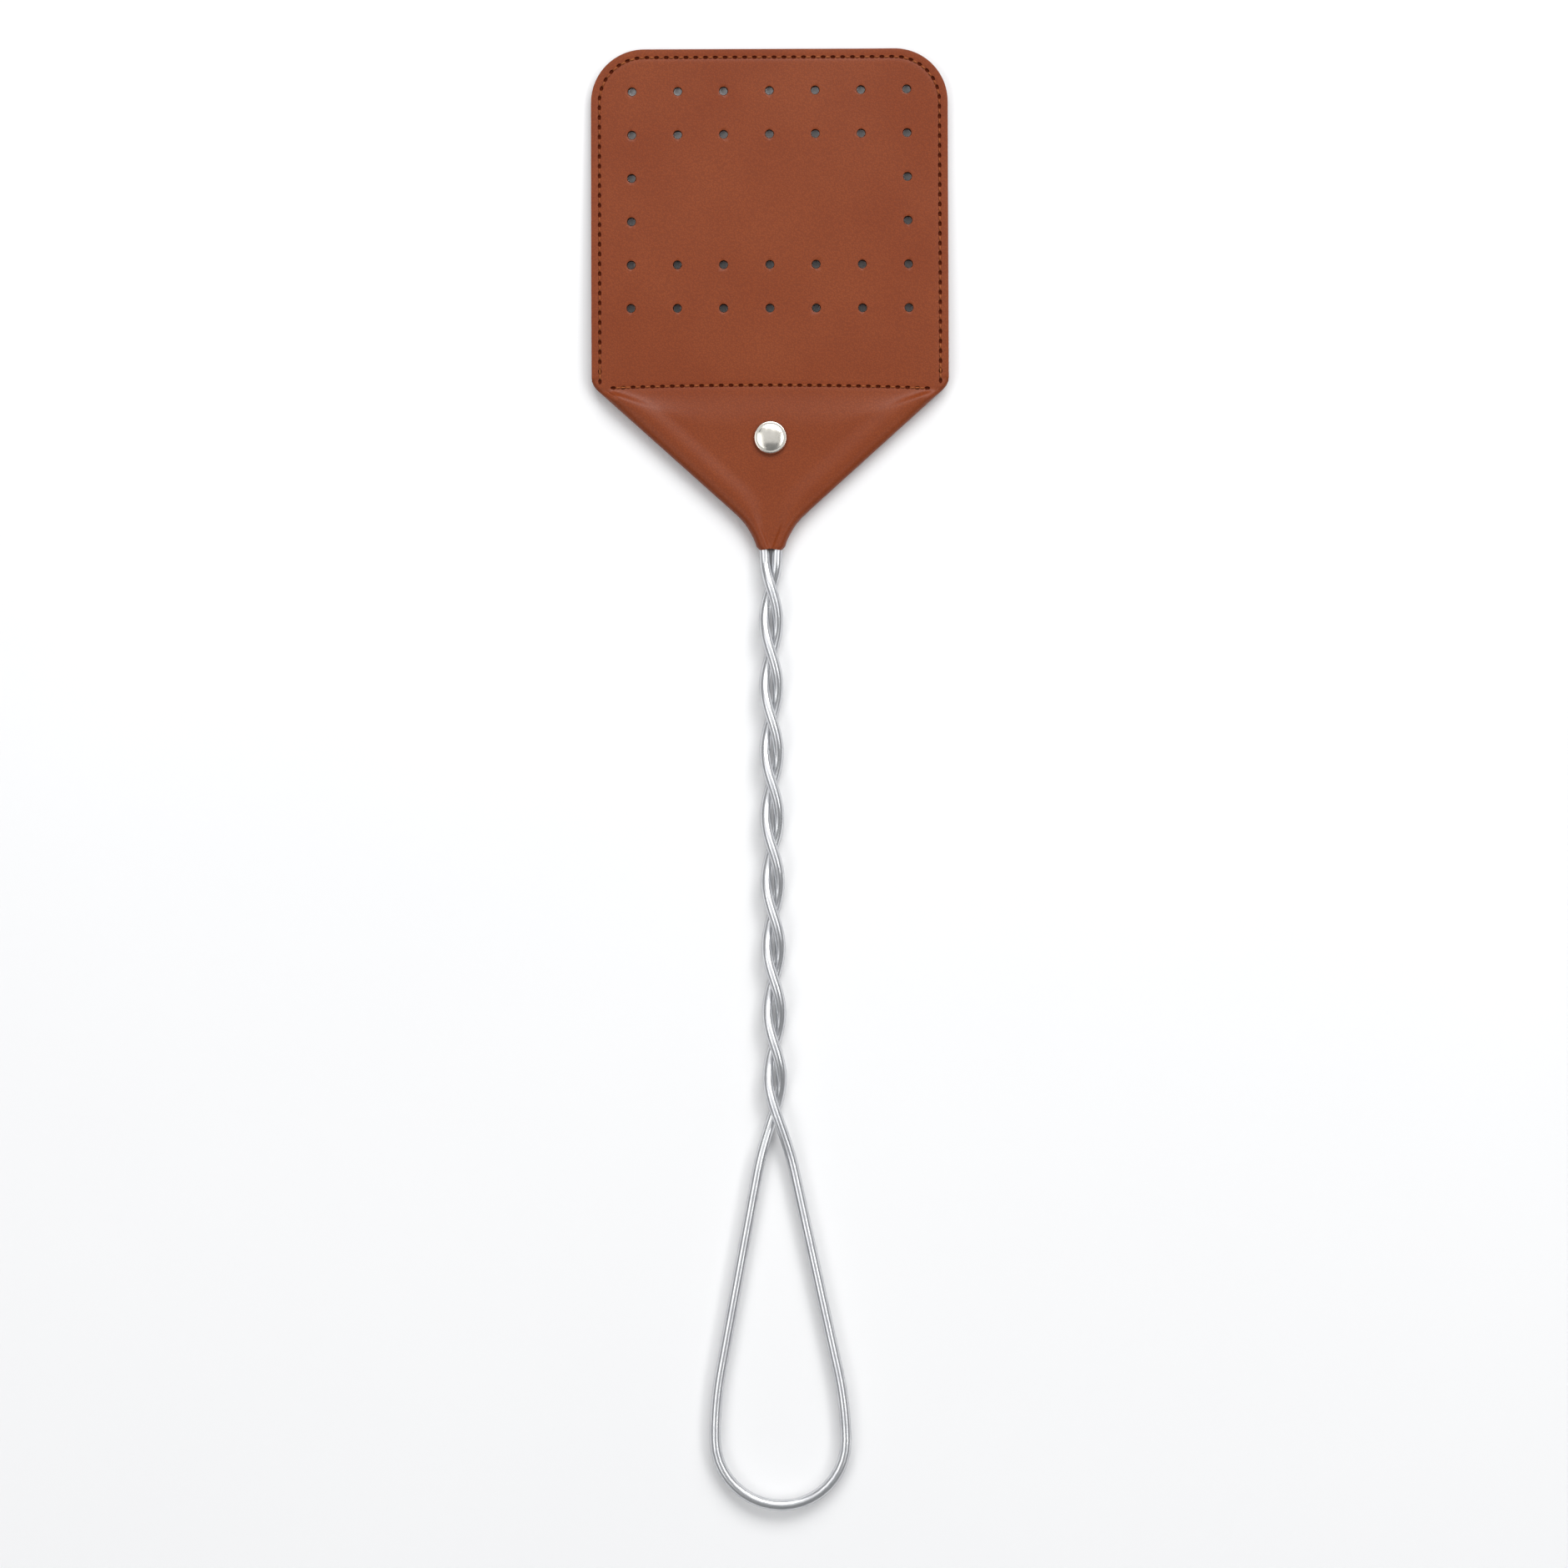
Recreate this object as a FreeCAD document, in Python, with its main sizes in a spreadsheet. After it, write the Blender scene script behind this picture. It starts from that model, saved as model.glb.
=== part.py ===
import FreeCAD, Part
import math
import os
import re

import Sketcher
from FreeCAD import Placement, Rotation, Vector

# A leather fly swatter: a paddle of two stitched leathers on a handle of one bent and twisted wire.
# It lies on its back. X is across the paddle, Y runs up the handle to the paddle's top edge,
# and Z is up, out of the paddle's front. The origin is under the middle of the whole length.

doc = FreeCAD.newDocument("fly_swatter")

# ---------------------------------------------------------------- driving sizes, in mm and degrees

SIZES = [
    ("wire_diameter", 3.2, "galvanised wire of the handle"),
    ("wire_clearance", 0.05, "air between the wire and the leather rolled round it"),
    ("leather_thickness", 0.9, "front and back leather alike"),
    ("paddle_width", 107, "across the paddle"),
    ("shoulder_drop", 101, "top edge down to where the sides turn in to the neck"),
    ("corner_radius", 16, "two top corners"),
    ("shoulder_radius", 5, "two shoulders"),
    ("flex_drop", 96, "top edge down to the line that the paddle bends about"),
    ("flex_gap", 1, "slit between the sheets of the handle and those of the paddle"),
    ("perforation_diameter", 2.6, "holes that let the air through"),
    ("perforation_inset", 12.5, "top edge down to the first row"),
    ("perforation_pitch_across", 13.8, "between columns"),
    ("perforation_pitch_along", 13.1, "between rows"),
    ("perforation_columns", 7, "columns in a full row"),
    ("perforation_rows", 6, "rows, of which the two first and the two last are full"),
    ("seam_inset", 2.5, "edge seam in from the edge"),
    ("stitch_pitch", 2.93, "needle hole to needle hole"),
    ("stitch_length", 1.7, "thread that shows between two holes"),
    ("thread_diameter", 0.5, "sewing thread"),
    ("cross_seam_drop", 101.5, "top edge down to the seam across the shoulders"),
    ("cross_seam_length", 94, "seam that closes the yoke's pocket"),
    ("front_seam_margin", 0.8, "cross seam down to where the front leather starts to rise over the arms"),
    ("back_seam_margin", 0.5, "cross seam down to the end of the back leather"),
    ("flap_seam_margin", 1.3, "cross seam up to the top edge of the flaps"),
    ("edge_seam_stop", 1.1, "end of the edge seam up from the shoulder"),
    ("roll_start", 1.2, "shoulder down to where the leather starts to roll round an arm"),
    ("rise_run", 0.7, "run of the rise over the arms, for each mm that it rises"),
    ("arm_angle", 48, "each arm of the yoke from the handle's line"),
    ("arm_tip_clearance", 0.65, "full depth of the yoke's pocket down to the cut end of a wire arm"),
    ("neck_spacing", 3.5, "between the two strands in the neck, centre to centre"),
    ("neck_bend_radius", 20, "bend from an arm into the neck"),
    ("neck_length", 5.8, "leather below the corner where arm and neck meet"),
    ("layer_sink", 0.02, "flat layers set in from the faces of the rolled leather that they run into"),
    ("layer_lap", 0.25, "how far the flat layers run into the rolled leather"),
    ("twist_radius", 2.0, "centre of a strand from the twist's axis"),
    ("half_turn", 19.55, "one crossing to the next"),
    ("half_turns", 8, "from the first crossing to the last"),
    ("twist_lead_in", 8.8, "end of the neck's bend to the first crossing"),
    ("loop_width", 42.4, "outside of the hanging loop"),
    ("loop_length", 120.2, "last crossing to the loop's far end"),
    ("loop_half_angle", 11.4, "straight side of the loop from the handle's line"),
    ("loop_flare_radius", 106, "bend between a side of the loop and its round end"),
    ("loop_lead_out", 18.5, "last crossing to the start of the straight side"),
    ("rivet_drop", 117, "top edge down to the rivet"),
    ("rivet_cap_diameter", 10, "domed cap on the front"),
    ("rivet_dome_height", 1.5, "cap's dome above the leather"),
    ("rivet_foot_diameter", 9, "foot on the back"),
    ("rivet_foot_height", 0.8, "foot's dome below the leather"),
    ("rivet_rim_height", 0.4, "upright rim of the cap and of the foot"),
    ("rivet_tube_diameter", 3.4, "tube under the cap, outside"),
    ("rivet_tube_wall", 0.5, "wall of that tube"),
    ("rivet_clearance", 0.05, "round the tube, and round the post inside it"),
]

sizes = doc.addObject("Spreadsheet::Sheet", "Sizes")
for row, (alias, number, note) in enumerate(SIZES, start=1):
    sizes.set(f"A{row}", note)
    sizes.set(f"B{row}", str(number))
    sizes.setAlias(f"B{row}", alias)
doc.recompute()


def formula(text):
    """Writes each size's name in a formula as its place in the sheet, and puts brackets round it."""
    names = "|".join(alias for alias, number, note in SIZES)
    return "(" + re.sub(rf"\b({names})\b", r"Sizes.\1", text) + ")"


def value(text):
    """The number that a formula gives now."""
    return float(sizes.evalExpression(text))


# Places along the handle are drops: distances down from the paddle's top edge.
ROLL_INSIDE = formula("wire_diameter / 2 + wire_clearance")
ROLL_OUTSIDE = formula("wire_diameter / 2 + wire_clearance + leather_thickness")
AXIS_HEIGHT = formula("twist_radius + wire_diameter / 2")
ARM_START_X = f"({formula('paddle_width / 2')} - {ROLL_OUTSIDE} / {formula('cos(arm_angle)')})"
NECK_X = formula("neck_spacing / 2")
ARM_SLOPE = formula("tan(arm_angle)")
LEATHER = formula("leather_thickness")
SHOULDER = formula("shoulder_drop")
PANEL_TOP = formula("cross_seam_drop + front_seam_margin")
RISE = f"({ROLL_INSIDE} * {formula('rise_run')})"
ARM_TIP = f"({PANEL_TOP} + {LEATHER} + {RISE} + {formula('arm_tip_clearance')})"
NECK_CORNER = f"({SHOULDER} + ({ARM_START_X} - {NECK_X}) / {ARM_SLOPE})"
NECK_MOUTH = f"({NECK_CORNER} + {formula('neck_length')})"
NECK_BEND_END = f"({NECK_CORNER} + {formula('neck_bend_radius * tan(arm_angle / 2)')})"
FIRST_CROSSING = f"({NECK_BEND_END} + {formula('twist_lead_in')})"
LAST_CROSSING = f"({FIRST_CROSSING} + {formula('half_turn * half_turns')})"
LOOP_END = f"({LAST_CROSSING} + {formula('loop_length')})"
TOP_Y = f"({LOOP_END} / 2)"
RIVET_Y = f"{TOP_Y} - {formula('rivet_drop')}"

SUB_PARTS = []


def keep(shape_object, name):
    """Marks an object as a finished sub-part under its own name."""
    shape_object.Label = name
    SUB_PARTS.append(shape_object)


def lift(shape_object, height):
    """Stands an object that is drawn about the top edge at its place along the handle."""
    shape_object.setExpression("Placement.Base.y", TOP_Y)
    shape_object.setExpression("Placement.Base.z", f"{AXIS_HEIGHT} + ({height})")


# ---------------------------------------------------------------- sketches


def origin_plane(body, role):
    """One of a body's own origin planes."""
    return next(plane for plane in body.Origin.OriginFeatures if plane.Role == role)


def draw_polygon(sketch, corners):
    """Draws a closed outline. A corner is two formulas, and both are bound to the sheet."""
    places = [Vector(value(x), value(y), 0) for x, y in corners]
    for index, place in enumerate(places):
        sketch.addGeometry(Part.LineSegment(place, places[(index + 1) % len(places)]), False)
    for index in range(len(places)):
        following = (index + 1) % len(places)
        sketch.addConstraint(Sketcher.Constraint("Coincident", index, 2, following, 1))
    for index, (x, y) in enumerate(corners):
        for kind, text, number in (("DistanceX", x, places[index].x), ("DistanceY", y, places[index].y)):
            place = sketch.addConstraint(Sketcher.Constraint(kind, -1, 1, index, 1, number))
            sketch.setExpression(f"Constraints[{place}]", text)


def sketch_in_body(body, name, role, corners):
    """A closed outline on one of a body's origin planes."""
    sketch = body.newObject("Sketcher::SketchObject", name)
    sketch.AttachmentSupport = [(origin_plane(body, role), "")]
    sketch.MapMode = "FlatFace"
    draw_polygon(sketch, corners)
    doc.recompute()
    return sketch


def upright_edges(shape, wanted):
    """Names of the edges along Z whose place in plan passes a test."""
    names = []
    for number, edge in enumerate(shape.Edges, start=1):
        first, last = edge.Vertexes[0].Point, edge.Vertexes[-1].Point
        upright = math.hypot(first.x - last.x, first.y - last.y) < 1e-6 and abs(first.z - last.z) > 1e-6
        if upright and wanted(first):
            names.append(f"Edge{number}")
    return names


# ---------------------------------------------------------------- leather of the paddle

HALF_WIDTH = formula("paddle_width / 2")
PADDLE_BOTTOM = formula("flex_drop - flex_gap / 2")
STRIP_TOP = formula("flex_drop + flex_gap / 2")


def make_sheet(name, flex_end, height, round_end, radius):
    """A flat leather sheet between two drops. The corners at the second of them are rounded."""
    body = doc.addObject("PartDesign::Body", f"{name}_body")
    corners = [
        (f"-{HALF_WIDTH}", f"-{flex_end}"),
        (HALF_WIDTH, f"-{flex_end}"),
        (HALF_WIDTH, f"-{round_end}"),
        (f"-{HALF_WIDTH}", f"-{round_end}"),
    ]
    outline = sketch_in_body(body, f"{name}_outline", "XY_Plane", corners)
    pad = body.newObject("PartDesign::Pad", f"{name}_pad")
    pad.Profile = outline
    pad.setExpression("Length", formula("leather_thickness"))
    doc.recompute()
    rounded = value(round_end)
    round_off = body.newObject("PartDesign::Fillet", f"{name}_corners")
    round_off.Base = (pad, upright_edges(pad.Shape, lambda place: abs(place.y + rounded) < 1e-4))
    round_off.setExpression("Radius", formula(radius))
    doc.recompute()
    lift(body, height)
    return body


def punch(body, name, column, repeats):
    """Punches a hole in one column of the first row, and repeats it: (direction, count, length)."""
    across = formula(f"({column} - (perforation_columns - 1) / 2) * perforation_pitch_across")
    sketch = body.newObject("Sketcher::SketchObject", f"{name}_sketch")
    sketch.AttachmentSupport = [(origin_plane(body, "XY_Plane"), "")]
    sketch.MapMode = "FlatFace"
    down = f"-{formula('perforation_inset')}"
    centre = Vector(value(across), value(down), 0)
    sketch.addGeometry(Part.Circle(centre, Vector(0, 0, 1), value("Sizes.perforation_diameter / 2")), False)
    bound = (("DistanceX", across, centre.x), ("DistanceY", down, centre.y))
    for kind, text, number in bound:
        place = sketch.addConstraint(Sketcher.Constraint(kind, -1, 1, 0, 3, number))
        sketch.setExpression(f"Constraints[{place}]", text)
    place = sketch.addConstraint(Sketcher.Constraint("Diameter", 0, value("Sizes.perforation_diameter")))
    sketch.setExpression(f"Constraints[{place}]", formula("perforation_diameter"))
    pocket = body.newObject("PartDesign::Pocket", f"{name}_pocket")
    pocket.Profile = sketch
    pocket.Type = "ThroughAll"
    pocket.Reversed = True
    doc.recompute()
    rows = body.newObject("PartDesign::MultiTransform", f"{name}_rows")
    rows.Originals = [pocket]
    steps = []
    for number, (axis, count, length) in enumerate(repeats):
        step = doc.addObject("PartDesign::LinearPattern", f"{name}_step_{number}")
        step.Direction = (sketch, [axis])
        step.Reversed = axis == "V_Axis"
        step.setExpression("Occurrences", count)
        step.setExpression("Length", length)
        body.addObject(step)
        steps.append(step)
    rows.Transformations = steps
    body.Tip = rows
    doc.recompute()


def perforate(body, name):
    """Two full rows at the top, two at the bottom, and the outer columns right through between them."""
    across = formula("(perforation_columns - 1) * perforation_pitch_across")
    inner = formula("(perforation_columns - 3) * perforation_pitch_across")
    along = formula("(perforation_rows - 1) * perforation_pitch_along")
    punch(
        body,
        f"{name}_outer",
        "0",
        [("V_Axis", formula("perforation_rows"), along), ("H_Axis", "2", across)],
    )
    punch(
        body,
        f"{name}_inner",
        "1",
        [
            ("H_Axis", formula("perforation_columns - 2"), inner),
            ("V_Axis", "2", formula("perforation_pitch_along")),
            ("V_Axis", "2", formula("(perforation_rows - 2) * perforation_pitch_along")),
        ],
    )


front_leather = make_sheet("front_leather", PADDLE_BOTTOM, "0", "0", "corner_radius")
perforate(front_leather, "front")
keep(front_leather, "front_leather")

back_leather = make_sheet("back_leather", PADDLE_BOTTOM, "-Sizes.leather_thickness", "0", "corner_radius")
perforate(back_leather, "back")
keep(back_leather, "back_leather")


# ---------------------------------------------------------------- paths in the plane of the wire


def in_plan(across, drop, above=0.0):
    """A point at a distance across, a drop from the top edge, and a height above the wire's axis."""
    return Vector(across, value(TOP_Y) - drop, value(AXIS_HEIGHT) + above)


def arm_direction():
    """Along the right arm, from its tip down to the neck."""
    angle = math.radians(value("Sizes.arm_angle"))
    return Vector(-math.sin(angle), -math.cos(angle), 0)


def point_on_arm(drop):
    """The point of the right arm's centre line at a drop."""
    slope = math.tan(math.radians(value("Sizes.arm_angle")))
    return in_plan(value(NECK_X) + (value(NECK_CORNER) - drop) * slope, drop)


def neck_bend(end_drop):
    """The arc from the right arm into the neck, cut at a drop."""
    radius = value("Sizes.neck_bend_radius")
    angle = math.radians(value("Sizes.arm_angle"))
    centre = in_plan(value(NECK_X) + radius, value(NECK_BEND_END))
    end_angle = math.asin((value(NECK_BEND_END) - end_drop) / radius)

    def on_bend(turn):
        return centre + Vector(-radius * math.cos(turn), radius * math.sin(turn), 0)

    return Part.Arc(on_bend(angle), on_bend((angle + end_angle) / 2), on_bend(end_angle)).toShape()


# Share of a smooth edge's length by which its ends keep their direction.
PULL = 0.36


def bezier(start, start_direction, end, end_direction, pull):
    """A smooth edge that leaves one point and reaches another in given directions."""
    curve = Part.BezierCurve()
    curve.setPoles([start, start + start_direction * pull, end - end_direction * pull, end])
    return curve.toShape()


def add_shape(name, shape):
    """A line or a solid that is worked out from the sheet by code."""
    feature = doc.addObject("Part::Feature", name)
    feature.Shape = shape
    return feature


def sweep(name, section, spine):
    """Carries a closed section along every edge of a path, as a solid."""
    feature = doc.addObject("Part::Sweep", name)
    feature.Sections = [section]
    feature.Spine = (spine, [f"Edge{number + 1}" for number in range(len(spine.Shape.Edges))])
    feature.Solid = True
    feature.Frenet = False
    doc.recompute()
    return feature


def mirror(name, source, normal, height=None):
    """A mirrored copy about the middle of the swatter, or about a height."""
    feature = doc.addObject("Part::Mirroring", name)
    feature.Source = source
    feature.Normal = normal
    if height is not None:
        feature.setExpression("Base.z", height)
    return feature


# ---------------------------------------------------------------- wire of the handle

# Half the wire, from the tip of the right arm to the far end of the loop. The other half is the same
# half turned by 180 degrees about the handle's line. A left-handed twist turns clockwise going down.
twist_radius = value("Sizes.twist_radius")
half_turn = value("Sizes.half_turn")
half_turns = int(value("Sizes.half_turns"))
tip_drop = value(ARM_TIP)
first_crossing = in_plan(0, value(FIRST_CROSSING), -twist_radius)
side = (-1) ** half_turns
last_crossing = in_plan(0, value(LAST_CROSSING), -twist_radius * side)
strand_slope = math.pi * twist_radius / half_turn
strand_start = Vector(-strand_slope, -1, 0).normalize()
strand_end = Vector(-strand_slope * side, -1, 0).normalize()

bend = neck_bend(value(NECK_BEND_END))
bend_start = bend.Vertexes[0].Point
bend_end = bend.Vertexes[-1].Point
arm = Part.LineSegment(point_on_arm(tip_drop), bend_start).toShape()
lead_in_pull = value("Sizes.twist_lead_in") * PULL
lead_in = bezier(bend_end, Vector(0, -1, 0), first_crossing, strand_start, lead_in_pull)

helix = Part.makeHelix(2 * half_turn, half_turn * half_turns, twist_radius, 0, True)
helix.rotate(Vector(0, 0, 0), Vector(1, 0, 0), 90)
helix.rotate(Vector(0, 0, 0), Vector(0, 1, 0), 90)
helix.translate(in_plan(0, value(FIRST_CROSSING)))

end_radius = value("Sizes.loop_width / 2 - Sizes.wire_diameter / 2")
flare_radius = value("Sizes.loop_flare_radius")
half_angle = math.radians(value("Sizes.loop_half_angle"))
loop_centre_drop = value(LOOP_END) - value("Sizes.loop_width / 2")


def on_flare(turn):
    """A point of the bend between the loop's straight side and its round end."""
    across = end_radius - flare_radius * (1 - math.cos(turn))
    return in_plan(-side * across, loop_centre_drop - flare_radius * math.sin(turn))


def on_loop_end(turn):
    """A point of the loop's round end, from its widest place at 0."""
    return in_plan(-side * end_radius * math.cos(turn), loop_centre_drop + end_radius * math.sin(turn))


side_direction = Vector(-side * math.sin(half_angle), -math.cos(half_angle), 0)
side_start_drop = value(LAST_CROSSING) + value("Sizes.loop_lead_out")
side_end = on_flare(half_angle)
side_length = (value(TOP_Y) - side_start_drop - side_end.y) / math.cos(half_angle)
side_start = side_end - side_direction * side_length
loop_side = Part.LineSegment(side_start, side_end).toShape()
lead_out_pull = value("Sizes.loop_lead_out") * PULL
lead_out = bezier(last_crossing, strand_end, side_start, side_direction, lead_out_pull)
flare = Part.Arc(side_end, on_flare(half_angle / 2), on_flare(0)).toShape()
loop_end = Part.Arc(on_loop_end(0), on_loop_end(math.pi / 4), on_loop_end(math.pi / 2)).toShape()

half_path = add_shape(
    "half_path",
    Part.Wire([arm, bend, lead_in, *helix.Edges, lead_out, loop_side, flare, loop_end]),
)
wire_section = doc.addObject("Part::Circle", "wire_section")
wire_section.setExpression("Radius", formula("wire_diameter / 2"))
wire_section.Placement = Placement(point_on_arm(tip_drop), Rotation(Vector(0, 0, 1), arm_direction()))
doc.recompute()
half_wire = sweep("half_wire", wire_section, half_path)
half_wire_across = mirror("half_wire_across", half_wire, Vector(1, 0, 0))
other_half_wire = mirror("other_half_wire", half_wire_across, Vector(0, 0, 1), AXIS_HEIGHT)
handle_wire = doc.addObject("Part::Fuse", "handle_wire_fuse")
handle_wire.Base = half_wire
handle_wire.Tool = other_half_wire
doc.recompute()
keep(handle_wire, "handle_wire")

# ---------------------------------------------------------------- leather rolled round the arms

roll_start = point_on_arm(value("Sizes.shoulder_drop + Sizes.roll_start"))
outward = Vector(0, 0, 1).cross(arm_direction())
roll_path = add_shape(
    "roll_path",
    Part.Wire([Part.LineSegment(roll_start, bend_start).toShape(), neck_bend(value(NECK_MOUTH))]),
)


def half_round(radius):
    """Half a circle round the start of the roll, on its outer side, from below to above."""
    up = Vector(0, 0, radius)
    return Part.Arc(roll_start - up, roll_start + outward * radius, roll_start + up).toShape()


roll_outside = half_round(value(ROLL_OUTSIDE))
roll_inside = half_round(value(ROLL_INSIDE))
roll_section = add_shape(
    "roll_section",
    Part.Wire(
        Part.__sortEdges__(
            [
                roll_outside,
                roll_inside,
                Part.LineSegment(roll_inside.Vertexes[0].Point, roll_outside.Vertexes[0].Point).toShape(),
                Part.LineSegment(roll_inside.Vertexes[-1].Point, roll_outside.Vertexes[-1].Point).toShape(),
            ]
        )
    ),
)
right_roll = sweep("right_roll", roll_section, roll_path)
left_roll = mirror("left_roll", right_roll, Vector(1, 0, 0))
doc.recompute()

# ---------------------------------------------------------------- yoke: the front leather's lower end

# The front leather runs on over the arms, rolls round them and comes back as two flaps behind.
# Its front and back layers each take their side view from one outline and their plan from another.
# Blocks that only cut stand out past what they cut by a margin.
CUT_MARGIN = "1"


def extrude(name, sketch, along, length, symmetric):
    """A prism on a sketch's outline, of a length bound to the sheet."""
    feature = doc.addObject("Part::Extrusion", name)
    feature.Base = sketch
    feature.DirMode = "Custom"
    feature.Dir = along
    feature.setExpression("LengthFwd", length)
    feature.Solid = True
    feature.Symmetric = symmetric
    return feature


def plan_sketch(name, corners):
    """A closed outline seen from the front, its drops measured down from the top edge."""
    sketch = doc.addObject("Sketcher::SketchObject", name)
    draw_polygon(sketch, [(x, f"-{drop}") for x, drop in corners])
    lift(sketch, "0")
    return sketch


def side_sketch(name, corners):
    """A closed outline seen from the right side, as drops and heights above the wire's axis."""
    sketch = doc.addObject("Sketcher::SketchObject", name)
    draw_polygon(sketch, [(f"-{drop}", height) for drop, height in corners])
    sketch.Placement = Placement(Vector(0, 0, 0), Rotation(Vector(1, 1, 1), 120))
    lift(sketch, "0")
    return sketch


def join(name, *pieces):
    """One solid out of pieces that meet."""
    feature = doc.addObject("Part::MultiFuse", name)
    feature.Shapes = list(pieces)
    return feature


def boolean(kind, name, base, tool):
    """A Part::Cut or a Part::Common of two objects."""
    feature = doc.addObject(kind, name)
    feature.Base = base
    feature.Tool = tool
    return feature


LAP_ACROSS = f"({formula('layer_lap')} / {formula('cos(arm_angle)')})"
arm_x_at_panel_top = f"({NECK_X} + ({NECK_CORNER} - {PANEL_TOP}) * {ARM_SLOPE} + {LAP_ACROSS})"
panel_neck_x = f"({NECK_X} + {formula('layer_lap')})"
panel_corner = f"({NECK_CORNER} + ({LAP_ACROSS} - {formula('layer_lap')}) / {ARM_SLOPE})"
shoulder_low = f"({PANEL_TOP} + {LEATHER} + {RISE})"
shoulder_low_x = f"({HALF_WIDTH} - ({shoulder_low} - {SHOULDER}) * {ARM_SLOPE})"
beyond_neck = f"({NECK_BEND_END} + {CUT_MARGIN})"

shoulder_plan = plan_sketch(
    "shoulder_plan",
    [
        (f"-{HALF_WIDTH}", STRIP_TOP),
        (f"-{HALF_WIDTH}", SHOULDER),
        (f"-{shoulder_low_x}", shoulder_low),
        (shoulder_low_x, shoulder_low),
        (HALF_WIDTH, SHOULDER),
        (HALF_WIDTH, STRIP_TOP),
    ],
)
panel_plan = plan_sketch(
    "panel_plan",
    [
        (f"-{arm_x_at_panel_top}", PANEL_TOP),
        (f"-{panel_neck_x}", panel_corner),
        (f"-{panel_neck_x}", beyond_neck),
        (panel_neck_x, beyond_neck),
        (panel_neck_x, panel_corner),
        (arm_x_at_panel_top, PANEL_TOP),
    ],
)
block_height = f"(({ROLL_OUTSIDE} + {CUT_MARGIN}) * 2)"
shoulder_block = extrude("shoulder_block", shoulder_plan, Vector(0, 0, 1), block_height, True)
panel_block = extrude("panel_block", panel_plan, Vector(0, 0, 1), block_height, True)
doc.recompute()


def round_edges(name, block, wanted, radius):
    """Rounds the upright edges of a block that pass a test."""
    feature = doc.addObject("Part::Fillet", name)
    feature.Base = block
    numbers = [int(edge[4:]) for edge in upright_edges(block.Shape, wanted)]
    feature.Edges = [(number, value(radius), value(radius)) for number in numbers]
    doc.recompute()
    return feature


shoulder_y = value(TOP_Y) - value(SHOULDER)
panel_corner_y = value(TOP_Y) - value(panel_corner)
rounded_shoulders = round_edges(
    "rounded_shoulders",
    shoulder_block,
    lambda place: abs(place.y - shoulder_y) < 1e-4,
    "Sizes.shoulder_radius",
)
rounded_panel = round_edges(
    "rounded_panel",
    panel_block,
    lambda place: abs(place.y - panel_corner_y) < 1e-4,
    "Sizes.neck_bend_radius - Sizes.layer_lap",
)
plan = join("yoke_plan", rounded_shoulders, rounded_panel)


def layer_profile(name, facing, strip_start, strip_top):
    """Side view of one layer: a strip by the seam, a rise, and the run over the arms."""
    low = f"({strip_top} - {LEATHER})"
    rise_end = f"({PANEL_TOP} + {RISE})"
    layer_outside = f"({ROLL_OUTSIDE} - {formula('layer_sink')})"
    layer_inside = f"({ROLL_INSIDE} + {formula('layer_sink')})"
    corners = [
        (strip_start, f"{facing} * {strip_top}"),
        (PANEL_TOP, f"{facing} * {strip_top}"),
        (rise_end, f"{facing} * {layer_outside}"),
        (NECK_MOUTH, f"{facing} * {layer_outside}"),
        (NECK_MOUTH, f"{facing} * {layer_inside}"),
        (f"({rise_end} + {LEATHER})", f"{facing} * {layer_inside}"),
        (f"({PANEL_TOP} + {LEATHER})", f"{facing} * {low}"),
        (strip_start, f"{facing} * {low}"),
    ]
    return side_sketch(name, corners)


full_width = f"(({HALF_WIDTH} + {CUT_MARGIN}) * 2)"
front_profile = layer_profile("front_profile", "1", STRIP_TOP, LEATHER)
flap_top = formula("cross_seam_drop - flap_seam_margin")
flap_strip_top = formula("leather_thickness * 2")
back_profile = layer_profile("back_profile", "-1", flap_top, flap_strip_top)
front_prism = extrude("front_prism", front_profile, Vector(1, 0, 0), full_width, True)
back_prism = extrude("back_prism", back_profile, Vector(1, 0, 0), full_width, True)
front_layer = boolean("Part::Common", "front_layer", plan, front_prism)
back_layer = boolean("Part::Common", "back_layer", plan, back_prism)
yoke = join("yoke_layers", front_layer, back_layer, right_roll, left_roll)
rivet_hole = doc.addObject("Part::Cylinder", "rivet_hole")
rivet_hole.setExpression("Radius", formula("rivet_tube_diameter / 2 + rivet_clearance"))
rivet_hole.setExpression("Height", block_height)
rivet_hole.setExpression("Placement.Base.y", RIVET_Y)
rivet_hole.setExpression("Placement.Base.z", f"{AXIS_HEIGHT} - {block_height} / 2")
yoke_leather = boolean("Part::Cut", "yoke_leather_cut", yoke, rivet_hole)
doc.recompute()
keep(yoke_leather, "yoke_leather")

# The back leather ends just below the cross seam. Its end stays with the yoke when the paddle bends.
strip_end = formula("cross_seam_drop + back_seam_margin")
back_strip = make_sheet("back_strip", STRIP_TOP, "-Sizes.leather_thickness", strip_end, "shoulder_radius")
keep(back_strip, "back_leather_strip")

# ---------------------------------------------------------------- rivet


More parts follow.
